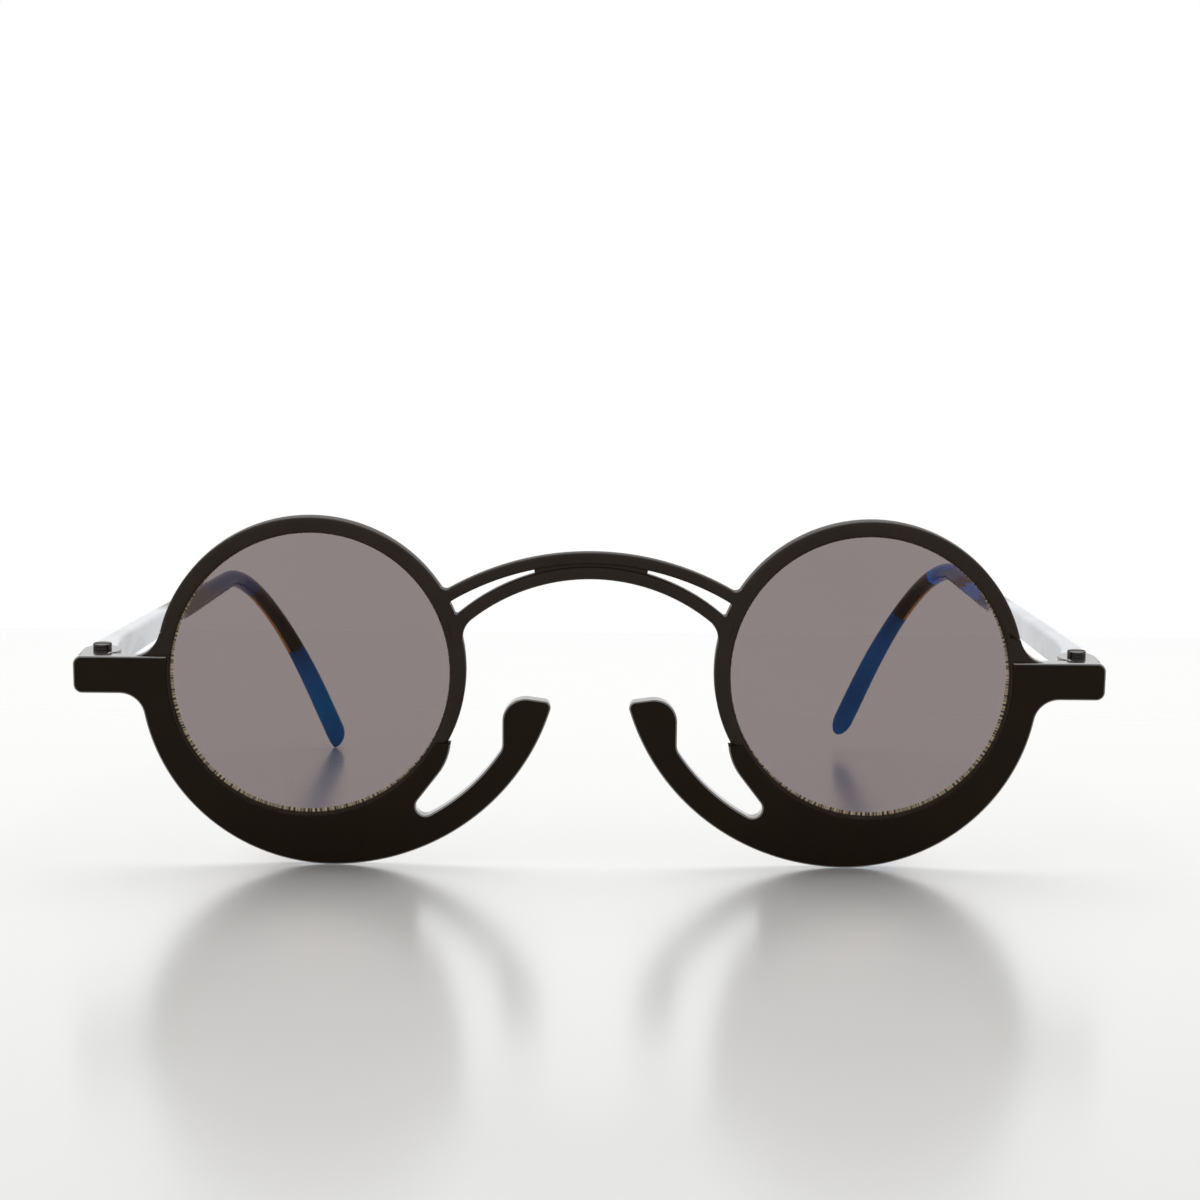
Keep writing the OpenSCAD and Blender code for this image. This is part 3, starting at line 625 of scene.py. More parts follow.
def material(key):
    """A finish by its name, made once."""
    looks = bpy.context.scene.glasses_finishes
    makers = {
        "moulded_nylon_plate": lambda n: moulded_nylon(
            n, looks.plate, roughness=0.36, specular=0.08),
        "polished_nylon_edge": lambda n: moulded_nylon(
            n, looks.plate, roughness=0.18, specular=1.0, coat=1.0),
        "moulded_nylon_ring": lambda n: moulded_nylon(
            n, looks.ring, roughness=0.4, specular=0.15),
        "polished_tinted_polycarbonate": lambda n: tinted_lens(looks.tint),
        "wheel_ground_lens_edge": lambda n: ground_lens_edge(looks.ground_edge),
        # Both long blocks start near-white, painted reflection of the grazing gloss near the hinge.
        "laminated_acetate_lavender": lambda n: laminated_acetate(
            n, [(0, looks.pale), (44, looks.pale), (51, looks.brown_patch),
                (62, looks.brown_patch), (67, looks.plum), (76, looks.lavender)],
            looks.plum, strength=0.1, size=9 * MM, slant=7),
        "laminated_acetate_mauve": lambda n: laminated_acetate(
            n, [(0, looks.pale), (51, looks.pale), (57, looks.mauve), (60, looks.mauve),
                (62, looks.sky), (70, looks.sky), (72, looks.plum), (77, looks.plum),
                (79, looks.mauve), (85, looks.mauve), (88, looks.mid_blue)],
            looks.plum, strength=0.1, size=9 * MM, slant=6),
        # The black blocks carry the painted amber glow along their lower outer side.
        "laminated_acetate_black": lambda n: laminated_acetate(
            n, [(98, looks.black), (119, looks.black)], looks.black, strength=0.0,
            size=5 * MM, amber_glow=0.8),
        "laminated_acetate_blue": lambda n: laminated_acetate(
            n, [(119, looks.navy), (125, looks.deep_blue), (131, looks.blue),
                (139, looks.deep_blue)], looks.navy, strength=0.2, size=6 * MM),
        "laminated_acetate_bright_blue": lambda n: laminated_acetate(
            n, [(91, looks.mid_blue), (94.5, looks.mid_blue), (96, looks.bright_blue),
                (98, looks.bright_blue)], looks.mid_blue, strength=0.3, size=4 * MM,
            slant=1),
        "laminated_acetate_navy": lambda n: laminated_acetate(
            n, [(113, looks.navy), (122, looks.deep_blue), (139, looks.deep_blue)],
            looks.navy, strength=0.3, size=6 * MM),
        "turned_steel": lambda n: turned_metal(n, looks.steel, roughness=0.3),
        "blackened_steel": lambda n: turned_metal(n, looks.black_steel, roughness=0.22),
        "turned_brass": lambda n: turned_metal(n, looks.brass, roughness=0.32),
    }
    return bpy.data.materials.get(key) or makers[key](key)


# Pieces of the front

def crescent_outline(layout):
    """Outline of a plate with its endpiece, crescent, nose arm and pad, anticlockwise, from
    arcs about the lens centre, the crescent's two centres and the small rounds between."""
    s, lens_c = layout.s, layout.lens_c
    inboard_c = np.array([lens_c[0] - s.crescent_shift, s.inboard_r])
    outboard_c = np.array([inboard_c[0], s.outboard_r])
    inner_r = s.opening_r + s.ring_bare
    pad_c = np.array([s.pad_x - s.pad_round, lens_c[1] - s.pad_drop - s.pad_round])
    tip_z = pad_c[1] + s.pad_round - s.pad_tip_round - s.pad_tip_drop
    tip_r = s.inboard_r - s.pad_tip_round
    tip_c = np.array([
        inboard_c[0] - math.sqrt(tip_r ** 2 - (tip_z - inboard_c[1]) ** 2), tip_z])
    top_a = tangent_normal(pad_c, s.pad_round, tip_c, s.pad_tip_round)
    tip_a = heading(tip_c - inboard_c) + FULL
    low_z = layout.end_low_z - s.end_hollow
    low_r = s.outboard_r + s.end_hollow
    low_c = np.array([
        outboard_c[0] + math.sqrt(low_r ** 2 - (low_z - outboard_c[1]) ** 2), low_z])
    low_a = heading(low_c - outboard_c)
    arm_r = s.inboard_r - s.arm_w
    gap_c = inboard_c + (arm_r - s.gap_end_r) * unit(s.gap_end_angle)
    bend_c = (gap_c + (s.gap_end_r + s.gap_bend_r) * unit(s.gap_slope)
              + s.gap_side * unit(s.gap_slope + QUARTER))
    bend_a = math.pi - math.asin((lens_c[1] - s.step_drop - bend_c[1]) / s.gap_bend_r)
    hollow_x = s.pad_x + s.pad_hollow
    hollow_c = np.array([hollow_x, inboard_c[1] - math.sqrt(
        (arm_r - s.pad_hollow) ** 2 - (inboard_c[0] - hollow_x) ** 2)])
    end_c = np.array([layout.end_x - s.end_round, layout.end_low_z + s.end_round])
    end_top_c = np.array([end_c[0], layout.end_top_z - s.end_round])
    return joined_up(
        arc(tip_c, s.pad_tip_round, top_a, tip_a),
        arc(inboard_c, s.inboard_r, tip_a, 3 * QUARTER),
        arc(outboard_c, s.outboard_r, -QUARTER, low_a),
        arc(low_c, s.end_hollow, low_a + math.pi, QUARTER),
        arc(end_c, s.end_round, -QUARTER, 0),
        arc(end_top_c, s.end_round, 0, QUARTER),
        arc(lens_c, inner_r, math.asin(s.end_top / inner_r),
            math.asin(s.step_drop / inner_r) - math.pi),
        arc(bend_c, s.gap_bend_r, bend_a, math.pi + s.gap_slope),
        arc(gap_c, s.gap_end_r, s.gap_slope, s.gap_end_angle),
        arc(inboard_c, arm_r, s.gap_end_angle, heading(hollow_c - inboard_c)),
        arc(hollow_c, s.pad_hollow, heading(hollow_c - inboard_c), -math.pi),
        arc(pad_c, s.pad_round, 0, top_a))


def rounded_section(inner, outer, front, back, r, steps=6):
    """Radii and depths round a ring's rounded rectangular section."""
    turn = np.linspace(0, QUARTER, steps + 1)
    corners = [((outer - r, front + r), -0.5), ((outer - r, back - r), 0),
               ((inner + r, back - r), 0.5), ((inner + r, front + r), 1)]
    return np.concatenate([c + r * unit(turn + a * math.pi) for c, a in corners])


class GLASSES_OT_plates(bpy.types.Operator):
    """Makes the crescent plates, each with its endpiece, nose arm and pad."""
    bl_idname = "glasses.plates"
    bl_label = "Crescent plates"

    def execute(self, context):
        s = context.scene.glasses_front
        layout = Layout(s)
        outline = crescent_outline(layout)
        profile = rounded_edge(0, s.plate_t, s.plate_edge)
        part = skin(opened(carried(outline, profile), layout))
        # The inner arc, which ends on the ring's face, stays matt.
        near = 0.02 * MM
        far = np.linalg.norm(outline - layout.lens_c, axis=1)
        facet = polished_sides(profile, np.abs(far - s.opening_r - s.ring_bare) > near)
        for name, side in SIDES.items():
            front_piece(f"{name}_crescent_plate", [mirrored(part, side)],
                        ["moulded_nylon_plate", "polished_nylon_edge"], facet)
        return {"FINISHED"}


class GLASSES_OT_rings(bpy.types.Operator):
    """Makes the two rings that hold the lenses in a V groove."""
    bl_idname = "glasses.rings"
    bl_label = "Lens rings"

    def execute(self, context):
        s = context.scene.glasses_front
        layout = Layout(s)
        front, back = s.ring_set, s.ring_set + s.ring_t
        section = rounded_section(s.opening_r, layout.ring_r, front, back, s.ring_round)
        groove = s.lens_set + s.lens_t / 2
        notch = np.array([[s.opening_r, groove + s.groove_w / 2],
                          [s.opening_r + s.groove_d, groove],
                          [s.opening_r, groove - s.groove_w / 2]])
        half = 3 * len(section) // 4
        section = np.concatenate([section[:half], notch, section[half:]])
        part = skin(opened(revolved(section, layout.lens_c), layout), joined=True)
        for name, side in SIDES.items():
            front_piece(f"{name}_lens_ring", [mirrored(part, side)], ["moulded_nylon_ring"])
        return {"FINISHED"}


def bar_outline(layout, top_c, top_r, low_c, low_r, top_fillet, low_fillet):
    """Outline of a bridge bar: an arc below and an arc above, each joined to both rings by a
    small hollow round, with both ends inside the rings. Both have as many points in each
    stretch, so that a ladder closes the faces."""
    s, lens_c, ring_r = layout.s, layout.lens_c, layout.ring_r
    bar_n, hollow_n, side_n, end_n = 140, 40, 3, 4
    mid = s.opening_r + s.ring_round
    top = meet(top_c, top_r + top_fillet, lens_c, ring_r + top_fillet, 1)
    low = meet(low_c, low_r - low_fillet, lens_c, ring_r + low_fillet, 1)
    top_a, low_a = heading(top - top_c), heading(low - low_c)
    top_ring, low_ring = heading(top - lens_c), heading(low - lens_c)
    end_a = (low_ring + top_ring) / 2
    halves = []
    for c, r, a, hollow_c, hollow_r, a0, ring_a in (
            (low_c, low_r, low_a, low, low_fillet, low_a, low_ring),
            (top_c, top_r, top_a, top, top_fillet, top_a - math.pi, top_ring)):
        side = np.array([ring_r, mid])[:, None] * unit(ring_a) + lens_c
        stretches = ((arc(c, r, QUARTER, a), bar_n),
                     (arc(hollow_c, hollow_r, a0, ring_a - math.pi), hollow_n),
                     (side, side_n),
                     (arc(lens_c, mid, ring_a, end_a), end_n))
        half = np.concatenate([resampled(line, n)[:-1] for line, n in stretches])
        halves.append(np.concatenate([half[:0:-1] * [-1, 1], half]))
    return np.concatenate([halves[0], halves[1][::-1]])


class GLASSES_OT_bridge(bpy.types.Operator):
    """Makes the two bridge bars and the thin web between them."""
    bl_idname = "glasses.bridge"
    bl_label = "Bridge"

    def execute(self, context):
        s = context.scene.glasses_front
        layout = Layout(s)
        # The bars' faces stand a hair before the rings' faces, so that no two coincide.
        hair, web_edge = 0.004 * MM, 0.1 * MM
        front, back = s.ring_set - hair, s.ring_set + s.bar_t
        edge = rounded_edge(front, back, s.bar_round, 6)
        upper_low, lower_top = s.bridge_top_r - s.upper_bar_w, s.bridge_low_r + s.lower_bar_w
        upper = bar_outline(layout, layout.top_c, s.bridge_top_r, layout.top_c, upper_low,
                            s.top_hollow, s.slot_round)
        lower = bar_outline(layout, layout.low_c, lower_top, layout.low_c, s.bridge_low_r,
                            s.slot_round, s.low_hollow)
        half = math.asin(s.web_half / upper_low)
        low_half = math.asin(s.web_half / lower_top)
        web = joined_up(
            arc(layout.low_c, lower_top - s.bar_round, QUARTER - low_half, QUARTER + low_half),
            arc(layout.top_c, upper_low + s.bar_round, QUARTER + half, QUARTER - half))
        for name, bar in (("upper_bridge_bar", upper), ("lower_bridge_bar", lower)):
            rows = carried(bar, edge, faded(bar, layout))
            front_piece(name, [skin(rows, ladder=True)], ["moulded_nylon_ring"])
        profile = rounded_edge(s.ring_set + s.web_set, back - s.web_set, web_edge, 2)
        front_piece("bridge_web", [skin(carried(web[::-1], profile))], ["moulded_nylon_ring"])
        return {"FINISHED"}


class GLASSES_OT_endpieces(bpy.types.Operator):
    """Makes the hollow corner fillets over the endpieces, whose faces rise from the ring's face
    almost to the plate's, and the hinge lugs behind them."""
    bl_idname = "glasses.endpieces"
    bl_label = "Endpieces"

    def execute(self, context):
        s = context.scene.glasses_front
        layout = Layout(s)
        r = s.end_hollow_top
        z = layout.end_top_z + r
        reach = math.sqrt((layout.ring_r + r) ** 2 - (z - layout.lens_c[1]) ** 2)
        centre = np.array([layout.lens_c[0] + reach, z])
        toward = heading(centre - layout.lens_c)
        mid = s.opening_r + s.ring_round
        # Edges that meet other pieces are sunk in them. Over the run beside the ring the face
        # rises until it lies just behind the plate's.
        sink, hair, lug_edge = 0.5 * MM, 0.01 * MM, 0.12 * MM
        run, behind, overlap = 2.5 * MM, 0.1 * MM, 0.08
        buried = centre[0] + sink
        fillet = joined_up(
            layout.lens_c + mid * unit(np.linspace(toward + overlap, 0, 8)),
            [[buried, layout.end_top_z - 2 * sink], [buried, layout.end_top_z]],
            arc(centre, r, -QUARTER, toward - math.pi))
        fillet[:, 1] -= hair
        profile = rounded_edge(s.ring_set, s.plate_t, s.plate_edge)
        rows = carried(fillet, profile, faded(fillet, layout))
        far = np.hypot(rows[..., 0] - layout.lens_c[0], rows[..., 2] - layout.lens_c[1])
        rise = np.clip((far - layout.ring_r) / run, 0, 1)
        rows[..., 1] -= (s.ring_set - behind) * rise
        corner = skin(rows)
        facet = polished_sides(profile, np.ones(len(fillet)))
        root = s.lug_r + sink
        lug = joined_up(
            [[s.lug_r, -root], [s.lug_r, 0]],
            arc(np.zeros(2), s.lug_r, 0, 4 * math.pi / 3),
            [[-s.lug_r / 2, -root]])
        lugs = [about_pin(lug, rounded_edge(0, s.lug_h, lug_edge, 3), layout, low)
                for low in (layout.end_low_z, layout.end_top_z - s.lug_h)]
        for name, side in SIDES.items():
            front_piece(f"{name}_endpiece_fillet", [mirrored(corner, side)],
                        ["moulded_nylon_ring", "polished_nylon_edge"], facet)
            front_piece(f"{name}_hinge_lugs", [mirrored(p, side) for p in lugs],
                        ["polished_nylon_edge"])
        return {"FINISHED"}


class GLASSES_OT_lenses(bpy.types.Operator):
    """Makes the two curved lenses with their ground V edges."""
    bl_idname = "glasses.lenses"
    bl_label = "Lenses"

    def execute(self, context):
        s = context.scene.glasses_front
        layout = Layout(s)
        gap, rows, count = 0.03 * MM, 40, 480
        edge_r, tip_r = s.opening_r - gap, s.opening_r + s.groove_d - gap
        groove, half = s.lens_set + s.lens_t / 2, s.groove_w / 2 - gap
        centre = s.lens_set + math.sqrt(s.lens_curve_r ** 2 - edge_r ** 2)
        bevel_r = edge_r - s.thin_bevel
        radii = np.linspace(0, bevel_r, rows)
        face = np.stack([radii, centre - np.sqrt(s.lens_curve_r ** 2 - radii ** 2)], -1)
        back_r = s.lens_curve_r - s.lens_t
        radii = np.linspace(0, edge_r, rows)
        back = np.stack([radii, centre - np.sqrt(back_r ** 2 - radii ** 2)], -1)[::-1]
        rim = np.array([[edge_r, s.lens_set + s.thin_bevel], [edge_r, groove - half],
                        [tip_r, groove], [edge_r, groove + half]])
        section = np.concatenate([face, rim, back])
        grid = revolved(section, layout.lens_c, count)
        turn = np.linspace(0, FULL, count, endpoint=False)
        # The bevel is full for about a quarter of the way round, and thin for nearly half.
        wide = np.clip(0.2 + 1.2 * np.cos(turn - s.bevel_side), 0, 1)
        shrink = 1 - (s.lens_bevel - s.thin_bevel) * wide / bevel_r
        grid[:len(face), :, ::2] = layout.lens_c + (
            grid[:len(face), :, ::2] - layout.lens_c) * shrink[None, :, None]
        points, faces = skin(opened(grid, layout))
        rings = np.repeat(np.arange(len(section) - 1), count)
        ground = ((rings >= len(face) - 1) & (rings < len(face) + len(rim))).astype(int)
        facet = np.concatenate([ground, [0, 0]])
        round_the_edge = np.tile(np.arange(count) * FULL * s.opening_r / count,
                                 (len(section), 1))
        for name, side in SIDES.items():
            solid(f"{name}_tinted_lens", [mirrored((points, faces), side)],
                  ["polished_tinted_polycarbonate", "wheel_ground_lens_edge"],
                  "front", [f"{name}_lens"], sharp=20, facet=facet,
                  marks={"along": round_the_edge})
        return {"FINISHED"}


class GLASSES_OT_screws(bpy.types.Operator):
    """Makes the slotted hinge screws, and finishes the inserts and the wire cores."""
    bl_idname = "glasses.screws"
    bl_label = "Hinge screws"

    def execute(self, context):
        s = context.scene.glasses_front
        layout = Layout(s)
        slot_w, gap, disc_n, shank_n = s.head_r / 3, 0.02 * MM, 64, 48
        head_bevel, disc_bevel, shank_bevel = 0.1 * MM, 0.04 * MM, 0.08 * MM
        start_a = math.asin(slot_w / 2 / s.head_r)
        half_disc = arc(np.zeros(2), s.head_r, start_a, math.pi - start_a, 0.002 * MM)
        disc = s.head_r * unit(np.linspace(0, FULL, disc_n, endpoint=False))
        shank = s.shank_r * unit(np.linspace(0, FULL, shank_n, endpoint=False))
        slot_z, top = s.end_h + s.head_h / 2, s.end_h + s.head_h
        stack = [(shank, gap, s.end_h + gap, shank_bevel),
                 (disc, s.end_h, slot_z, disc_bevel),
                 (half_disc, slot_z - gap, top, head_bevel),
                 (-half_disc, slot_z - gap, top, head_bevel)]
        parts = [about_pin(outline, rounded_edge(low, high, bevel, 3), layout, layout.end_low_z)
                 for outline, low, high, bevel in stack]
        for name, side in SIDES.items():
            solid(f"{name}_slotted_screw", [mirrored(p, side) for p in parts],
                  ["blackened_steel"], "front", [f"{name}_hinge_screw"])
            for node, finish in ((f"{name}_hinge_insert", "turned_brass"),
                                 (f"{name}_temple_core", "turned_steel")):
                for place in frame["nodes"][node].material_slots:
                    place.material = material(finish)
        return {"FINISHED"}


# Temples

CORNER_STEPS = 12


def smooth(v):
    """Smooth step: 3 k squared minus 2 k cubed, with k held between 0 and 1."""
    k = np.clip(v, 0, 1)
    return k * k * (3 - 2 * k)


def turned(x, z, a):
    """Turns plane points by an angle, from z towards x."""
    return x * np.cos(a) + z * np.sin(a), -x * np.sin(a) + z * np.cos(a)


def temple_surface(t, layout, side, along, around):
    """Points of the temple. The section at a distance from the hinge is a rounded rectangle
    whose half sizes and corner radius change along the temple, turned into the plane of the
    bend and carried along the straight stretch, the bend and the tip. The tip closes as a
    quarter of an ellipse."""
    least_corner = 0.5 * MM
    flare = (1 - np.clip(along / t.flare_l, 0, 1)) ** 2
    taper = np.clip((along - t.taper_start) / (t.straight_l - t.taper_start), 0, 1)
    bend_l = t.bend_r * t.bend_angle
    end = t.straight_l + bend_l + t.tip_l - getattr(t, f"{side}_trim")
    swell = smooth((along - t.straight_l - bend_l / 2) / (bend_l / 2 + t.tip_l / 2))
    wide, high = 2 * layout.s.lug_r, layout.s.end_h
    base_w = t.temple_w + (wide - t.temple_w) * flare
    base_h = t.temple_h + (high - t.temple_h) * flare
    straight = along < t.straight_l
    w = np.where(straight, base_w + (t.bend_d - t.temple_w) * taper,
                 t.bend_d + (t.tip_w - t.bend_d) * swell) / 2
    h = np.where(straight, base_h + (t.bend_d - t.temple_h) * taper,
                 t.bend_d + (t.tip_t - t.bend_d) * swell) / 2
    corner = least_corner + (t.bend_d / 2 - least_corner) * np.clip(
        (along - t.flare_l) / (t.straight_l - t.flare_l), 0, 1)
    r = np.minimum(np.where(straight, corner, np.minimum(w, h)), np.minimum(w, h))
    ending = np.clip((along - end + t.tip_round) / t.tip_round, 0, 1)
    close = np.sqrt(np.clip(1 - ending ** 2, 0, 1))
    quadrant = np.floor(around).astype(int) % 4
    a = around_angle(around)
    x = (w - r) * np.where((quadrant == 0) | (quadrant == 3), 1, -1) + r * np.cos(a)
    z = (h - r) * np.where(quadrant < 2, 1, -1) + r * np.sin(a)
    lag = t.curl * (smooth((along - t.taper_start) / (t.straight_l - t.taper_start)) - 1)
    x, z = turned(x * close + getattr(t, f"{side}_cut") * (1 - close), z * close, lag)
    bend = np.clip((along - t.straight_l) / bend_l, 0, 1) * t.bend_angle
    tip = np.maximum(0, along - t.straight_l - bend_l)
    y = np.minimum(along, t.straight_l) + (t.bend_r + z) * np.sin(bend) + tip * np.cos(bend)
    drop = (t.bend_r + z) * np.cos(bend) - t.bend_r - tip * np.sin(bend)
    x, z = turned(x, drop, t.curl)
    x, z = x + layout.s.lug_r - base_w / 2, z - base_h / 2
    droop, splay = getattr(t, f"{side}_droop"), getattr(t, f"{side}_splay")
    y, z = (y * math.cos(droop) + z * math.sin(droop),
            -y * math.sin(droop) + z * math.cos(droop))
    x, y = (x * math.cos(splay) - y * math.sin(splay),
            x * math.sin(splay) + y * math.cos(splay))
    return np.stack([x, y, z], -1) + layout.pin


def around_angle(around):
    """Angle of a corner point. A quadrant's points run from its start to its end, so the flat
    side lies between the last of one and the first of the next."""
    part = (around % 1) * CORNER_STEPS / (CORNER_STEPS - 1)
    return QUARTER * (np.floor(around) + part)


def temple_block(t, layout, side, start, end, rows, hollow=False):
    """A block between two distances from the hinge, and its marks: the distance along the
    temple, and the cosine and sine of the angle round it. Its first end may be hollow. Then
    each point slides along the temple until it is on the cylinder round the lugs, and rings
    of the same cylinder close the end."""
    around = (np.arange(4 * CORNER_STEPS) / CORNER_STEPS)[None]
    first = np.full_like(around, start)
    if hollow:
        radius, least, rounds = layout.s.lug_r + t.lug_gap, 0.1 * MM, 30
        for _ in range(rounds):
            off = temple_surface(t, layout, side, first, around)[..., :2] - layout.pin[:2]
            first = np.maximum(first + radius - np.linalg.norm(off, axis=-1), least)
    along = first + (end - first) * rows[:, None]
    grid = temple_surface(t, layout, side, along, np.broadcast_to(around, along.shape))
    if hollow:
        middle = grid[0].mean(axis=0)
        shares = np.linspace(0.05, 0.9, 8)[:, None, None]
        rings = middle + (grid[0] - middle) * shares
        off = rings[..., 0] - layout.pin[0]
        rings[..., 1] = layout.pin[1] + np.sqrt(np.maximum(radius ** 2 - off ** 2, 0))
        grid = np.concatenate([rings, grid])
        along = np.concatenate([np.repeat(along[:1], len(rings), axis=0), along])
    out, up = (np.broadcast_to(f(around_angle(around)), along.shape) for f in (np.cos, np.sin))
    return skin(grid), {"along": along, "out": out, "up": up}


class GLASSES_OT_temples(bpy.types.Operator):
    """Makes the blocks of both patchwork temples, with their hollow hinge ends."""
    bl_idname = "glasses.temples"
    bl_label = "Temples"

    def execute(self, context):
        s, t = context.scene.glasses_front, context.scene.glasses_temples
        layout = Layout(s)
        start_l, row_l, tip_rows, nearly_closed = 0.4 * MM, 0.8 * MM, 18, 0.985
        total = t.straight_l + t.bend_r * t.bend_angle + t.tip_l
        plan = {
            "left": [("temple_arm", start_l, t.left_black, "lavender"),
                     ("temple_black_block", t.left_black, t.left_blue, "black"),
                     ("temple_blue_tip", t.left_blue, total, "blue")],
            "right": [("temple_arm", start_l, t.right_stripe, "mauve"),
                      ("temple_blue_stripe", t.right_stripe, t.right_black, "bright_blue"),
                      ("temple_black_block", t.right_black, t.right_navy, "black"),
                      ("temple_navy_tip", t.right_navy, total, "navy")]}
        for name, blocks in plan.items():
            for index, (node, low, high, finish) in enumerate(blocks):
                last = index == len(blocks) - 1
                high -= last * getattr(t, f"{name}_trim")
                rows = np.linspace(0, 1, max(8, round((high - low) / row_l)))
                if last:
                    # Rows crowd together towards the end of the tip.
                    turn = 1 - t.tip_round / (high - low)
                    rows = np.concatenate([rows[rows < turn], turn + (1 - turn) * np.sin(
                        np.linspace(0, 1, tip_rows) * QUARTER * nearly_closed)])
                part, marks = temple_block(
                    t, layout, name, low, high, rows, hollow=index == 0)
                solid(f"{name}_{node}_skin", [mirrored(part, SIDES[name])],
                      [f"laminated_acetate_{finish}"], f"{name}_temple",
                      [f"{name}_{node}"], sharp=40, marks=marks)
            self.knuckle(name, layout, t, blocks[0])
        return {"FINISHED"}

    def knuckle(self, name, layout, t, block):
        """The tongue between the lugs, whose square corner stops the open temple."""
        s = layout.s
        inset, flat, bevel = 0.2 * MM, 0.4 * MM, 0.05 * MM
        eye, stop = s.lug_r - inset, s.lug_r - t.knuckle_gap
        left, far = flat - eye, t.flare_l / 3
        start_a = math.acos(left / eye)
        outline = joined_up(
            [[0, -eye], [0, -stop], [eye, -stop], [eye, far], [left, far]],
            arc(np.zeros(2), eye, start_a, 1.5 * math.pi))
        low = layout.end_low_z + s.lug_h + t.knuckle_gap
        high = layout.end_top_z - s.lug_h - t.knuckle_gap
        part = about_pin(outline, rounded_edge(low, high, bevel, 2), layout)
        solid(f"{name}_hinge_knuckle", [mirrored(part, SIDES[name])],
              [f"laminated_acetate_{block[3]}"], f"{name}_temple",
              [f"{name}_{block[0]}"])


# Stage

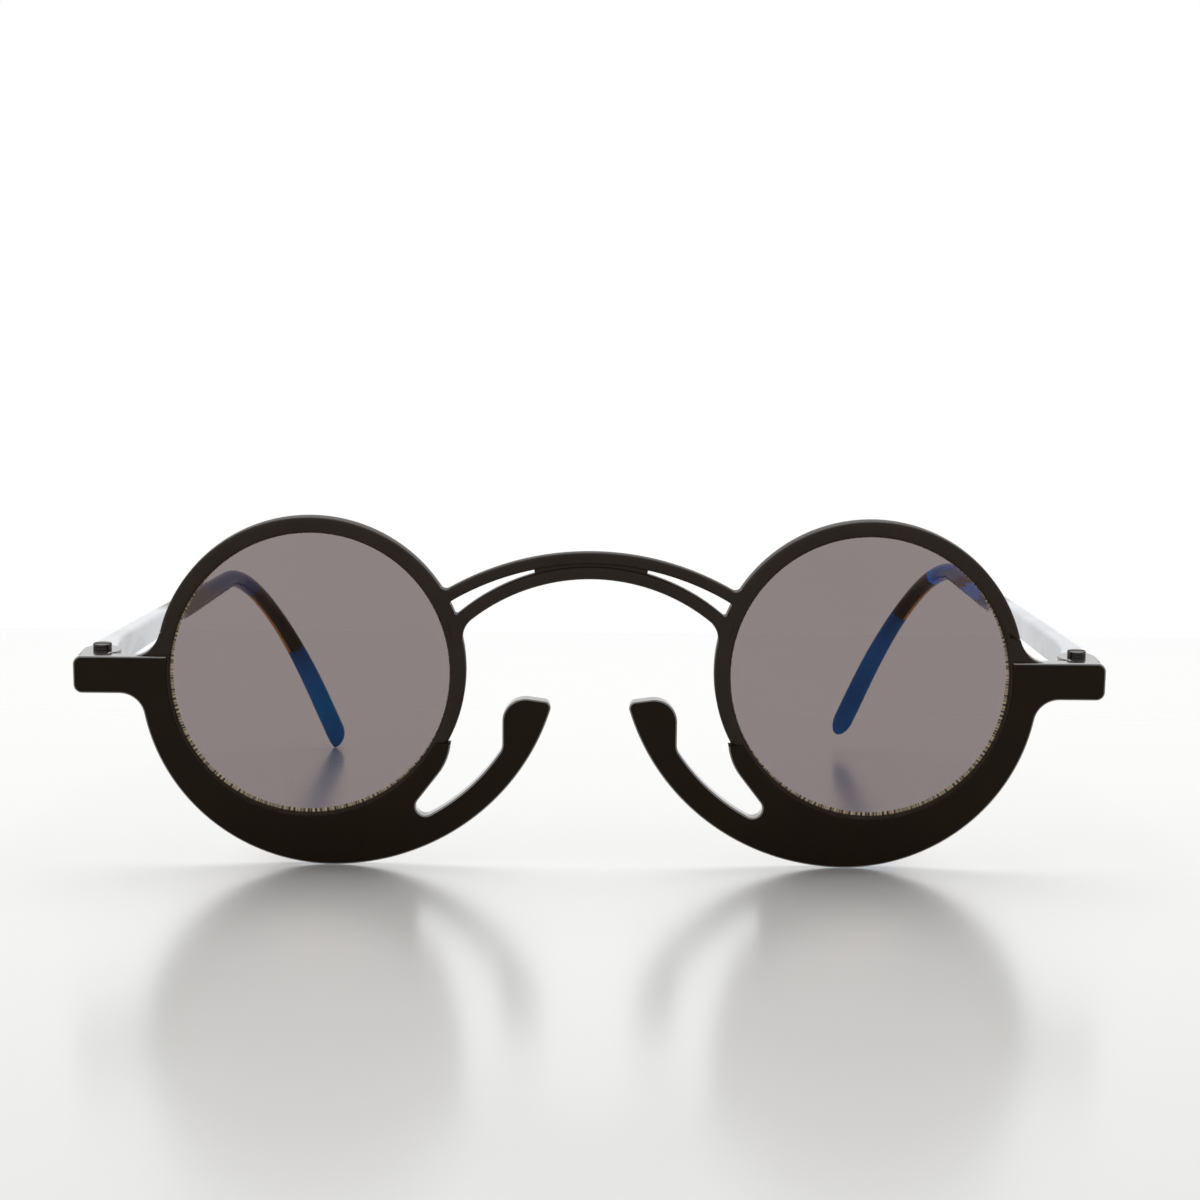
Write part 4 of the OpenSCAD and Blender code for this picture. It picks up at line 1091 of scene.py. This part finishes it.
class GLASSES_OT_stage(bpy.types.Operator):
    """Makes the satin white table, the light and the camera."""
    bl_idname = "glasses.stage"
    bl_label = "Stage"

    def execute(self, context):
        scene = context.scene
        scene.view_settings.view_transform = "Standard"
        self.table(scene)
        self.light(scene)
        self.camera(scene)
        return {"FINISHED"}

    def table(self, scene):
        """A flat table whose far edge ends against the white. Its satin surface mirrors more
        the flatter it is looked at, and all of the light at a grazing look."""
        near, far, half = -0.8, 0.304, 1.2
        wave_size, wave_depth = 8 * MM, 0.01 * MM
        mirrored_share = ((0.48, 0.02), (0.66, 0.2), (0.76, 0.34), (0.85, 0.56), (0.93, 0.94),
                          (1.0, 1.0))
        mesh = bpy.data.meshes.new("table")
        mesh.from_pydata([(-half, near, 0), (half, near, 0), (half, far, 0), (-half, far, 0)],
                         [], [(0, 1, 2, 3)])
        table = bpy.data.objects.new("table", mesh)
        scene.collection.objects.link(table)
        finish, tree, shader, place = start("satin_white_acrylic")
        bump = grain(tree, place, wave_size, wave_depth, 0.1)
        fill(tree, shader, Base_Color=rgba(scene.glasses_finishes.table), Roughness=1.0,
             Specular_IOR_Level=0.0, Normal=bump.outputs["Normal"])
        facing = add(tree, "ShaderNodeLayerWeight", {"Blend": 0.5}).outputs["Facing"]
        share = add(tree, "ShaderNodeValToRGB", {"Fac": facing})
        share.color_ramp.interpolation = "B_SPLINE"
        set_stops(share, [(at, (part, part, part)) for at, part in mirrored_share])
        gloss = add(tree, "ShaderNodeBsdfAnisotropic",
                    {"Color": (1, 1, 1, 1), "Roughness": 0.2})
        both = add(tree, "ShaderNodeMixShader", {0: share.outputs["Color"],
                                                 1: shader.outputs["BSDF"],
                                                 2: gloss.outputs["BSDF"]})
        tree.links.new(both.outputs[0], tree.nodes["Material Output"].inputs["Surface"])
        mesh.materials.append(finish)

    def light(self, scene):
        """An even world, at strength 1 where it is seen, mirrored or looked at through the
        lenses and at half of that as light on the rest, and two soft lamps."""
        world = bpy.data.worlds.new("white_tent")
        scene.world = world
        world.use_nodes = True
        tree = world.node_tree
        tree.nodes.clear()
        rays = add(tree, "ShaderNodeLightPath")
        seen = add(tree, "ShaderNodeMath", {0: rays.outputs["Is Camera Ray"],
                                            1: rays.outputs["Is Glossy Ray"]}, operation="MAXIMUM")
        seen = add(tree, "ShaderNodeMath", {0: seen.outputs[0],
                                            1: rays.outputs["Is Transmission Ray"]},
                   operation="MAXIMUM")
        power = add(tree, "ShaderNodeMapRange", {"Value": seen.outputs[0], "To Min": 0.5,
                                                 "To Max": 1.0})
        back = add(tree, "ShaderNodeBackground", {"Color": (1, 1, 1, 1),
                                                  "Strength": power.outputs["Result"]})
        add(tree, "ShaderNodeOutputWorld", {"Surface": back.outputs[0]})
        for name, place, size, watts in (("top_softbox", (0.0, 0.16, 0.5), 0.5, 1.45),
                                         ("side_softbox", (-0.5, -0.5, 0.4), 0.3, 0.3)):
            lamp = bpy.data.lights.new(name, "AREA")
            lamp.size, lamp.energy = size, watts
            holder = bpy.data.objects.new(name, lamp)
            holder.location = place
            holder.rotation_mode = "QUATERNION"
            holder.rotation_quaternion = (-Vector(place)).to_track_quat("-Z", "Y")
            scene.collection.objects.link(holder)

    def camera(self, scene):
        """The camera of the photograph: its place, turn, tilt and roll, and its lens."""
        yaw, pitch, roll = (math.radians(a) for a in (0.5063, 4.0777, 0.4921))
        stand = (-0.001855, -0.40302, 0.05913)
        ahead = Vector((math.sin(yaw) * math.cos(pitch), math.cos(yaw) * math.cos(pitch),
                        -math.sin(pitch)))
        side = Vector((math.cos(yaw), -math.sin(yaw), 0))
        up = side.cross(ahead)
        right = math.cos(roll) * side + math.sin(roll) * up
        above = math.cos(roll) * up - math.sin(roll) * side
        lens = bpy.data.cameras.new("camera")
        lens.lens, lens.sensor_width = 80.73, 36
        lens.clip_start, lens.clip_end = 0.01, 10
        camera = bpy.data.objects.new("camera", lens)
        camera.matrix_world = Matrix.Translation(stand) @ Matrix(
            (right, above, -ahead)).transposed().to_4x4()
        scene.collection.objects.link(camera)
        scene.camera = camera


class GLASSES_PT_panel(bpy.types.Panel):
    """Lists the sizes, the finishes and the steps."""
    bl_idname = "GLASSES_PT_panel"
    bl_label = "Round Sunglasses"
    bl_space_type = "VIEW_3D"
    bl_region_type = "UI"
    bl_category = "Sunglasses"

    def draw(self, context):
        for step in STEPS:
            self.layout.operator(step.bl_idname)
        for group in (context.scene.glasses_front, context.scene.glasses_temples,
                      context.scene.glasses_finishes):
            box = self.layout.box()
            for key in group.bl_rna.properties.keys():
                if key not in ("rna_type", "name"):
                    box.prop(group, key)


STEPS = (GLASSES_OT_stage, GLASSES_OT_plates, GLASSES_OT_rings, GLASSES_OT_bridge,
         GLASSES_OT_endpieces, GLASSES_OT_lenses, GLASSES_OT_screws, GLASSES_OT_temples)
GROUPS = {"glasses_front": FrontSizes, "glasses_temples": TempleSizes,
          "glasses_finishes": Finishes}


def register():
    for item in (*GROUPS.values(), *STEPS, GLASSES_PT_panel):
        bpy.utils.register_class(item)
    for key, group in GROUPS.items():
        setattr(bpy.types.Scene, key, bpy.props.PointerProperty(type=group))


def unregister():
    for key in GROUPS:
        delattr(bpy.types.Scene, key)
    for item in reversed((*GROUPS.values(), *STEPS, GLASSES_PT_panel)):
        bpy.utils.unregister_class(item)


def main():
    """Registers the add-on and makes every piece in order."""
    register()
    for step in STEPS:
        group, name = step.bl_idname.split(".")
        getattr(getattr(bpy.ops, group), name)()


if __name__ == "__main__":
    main()
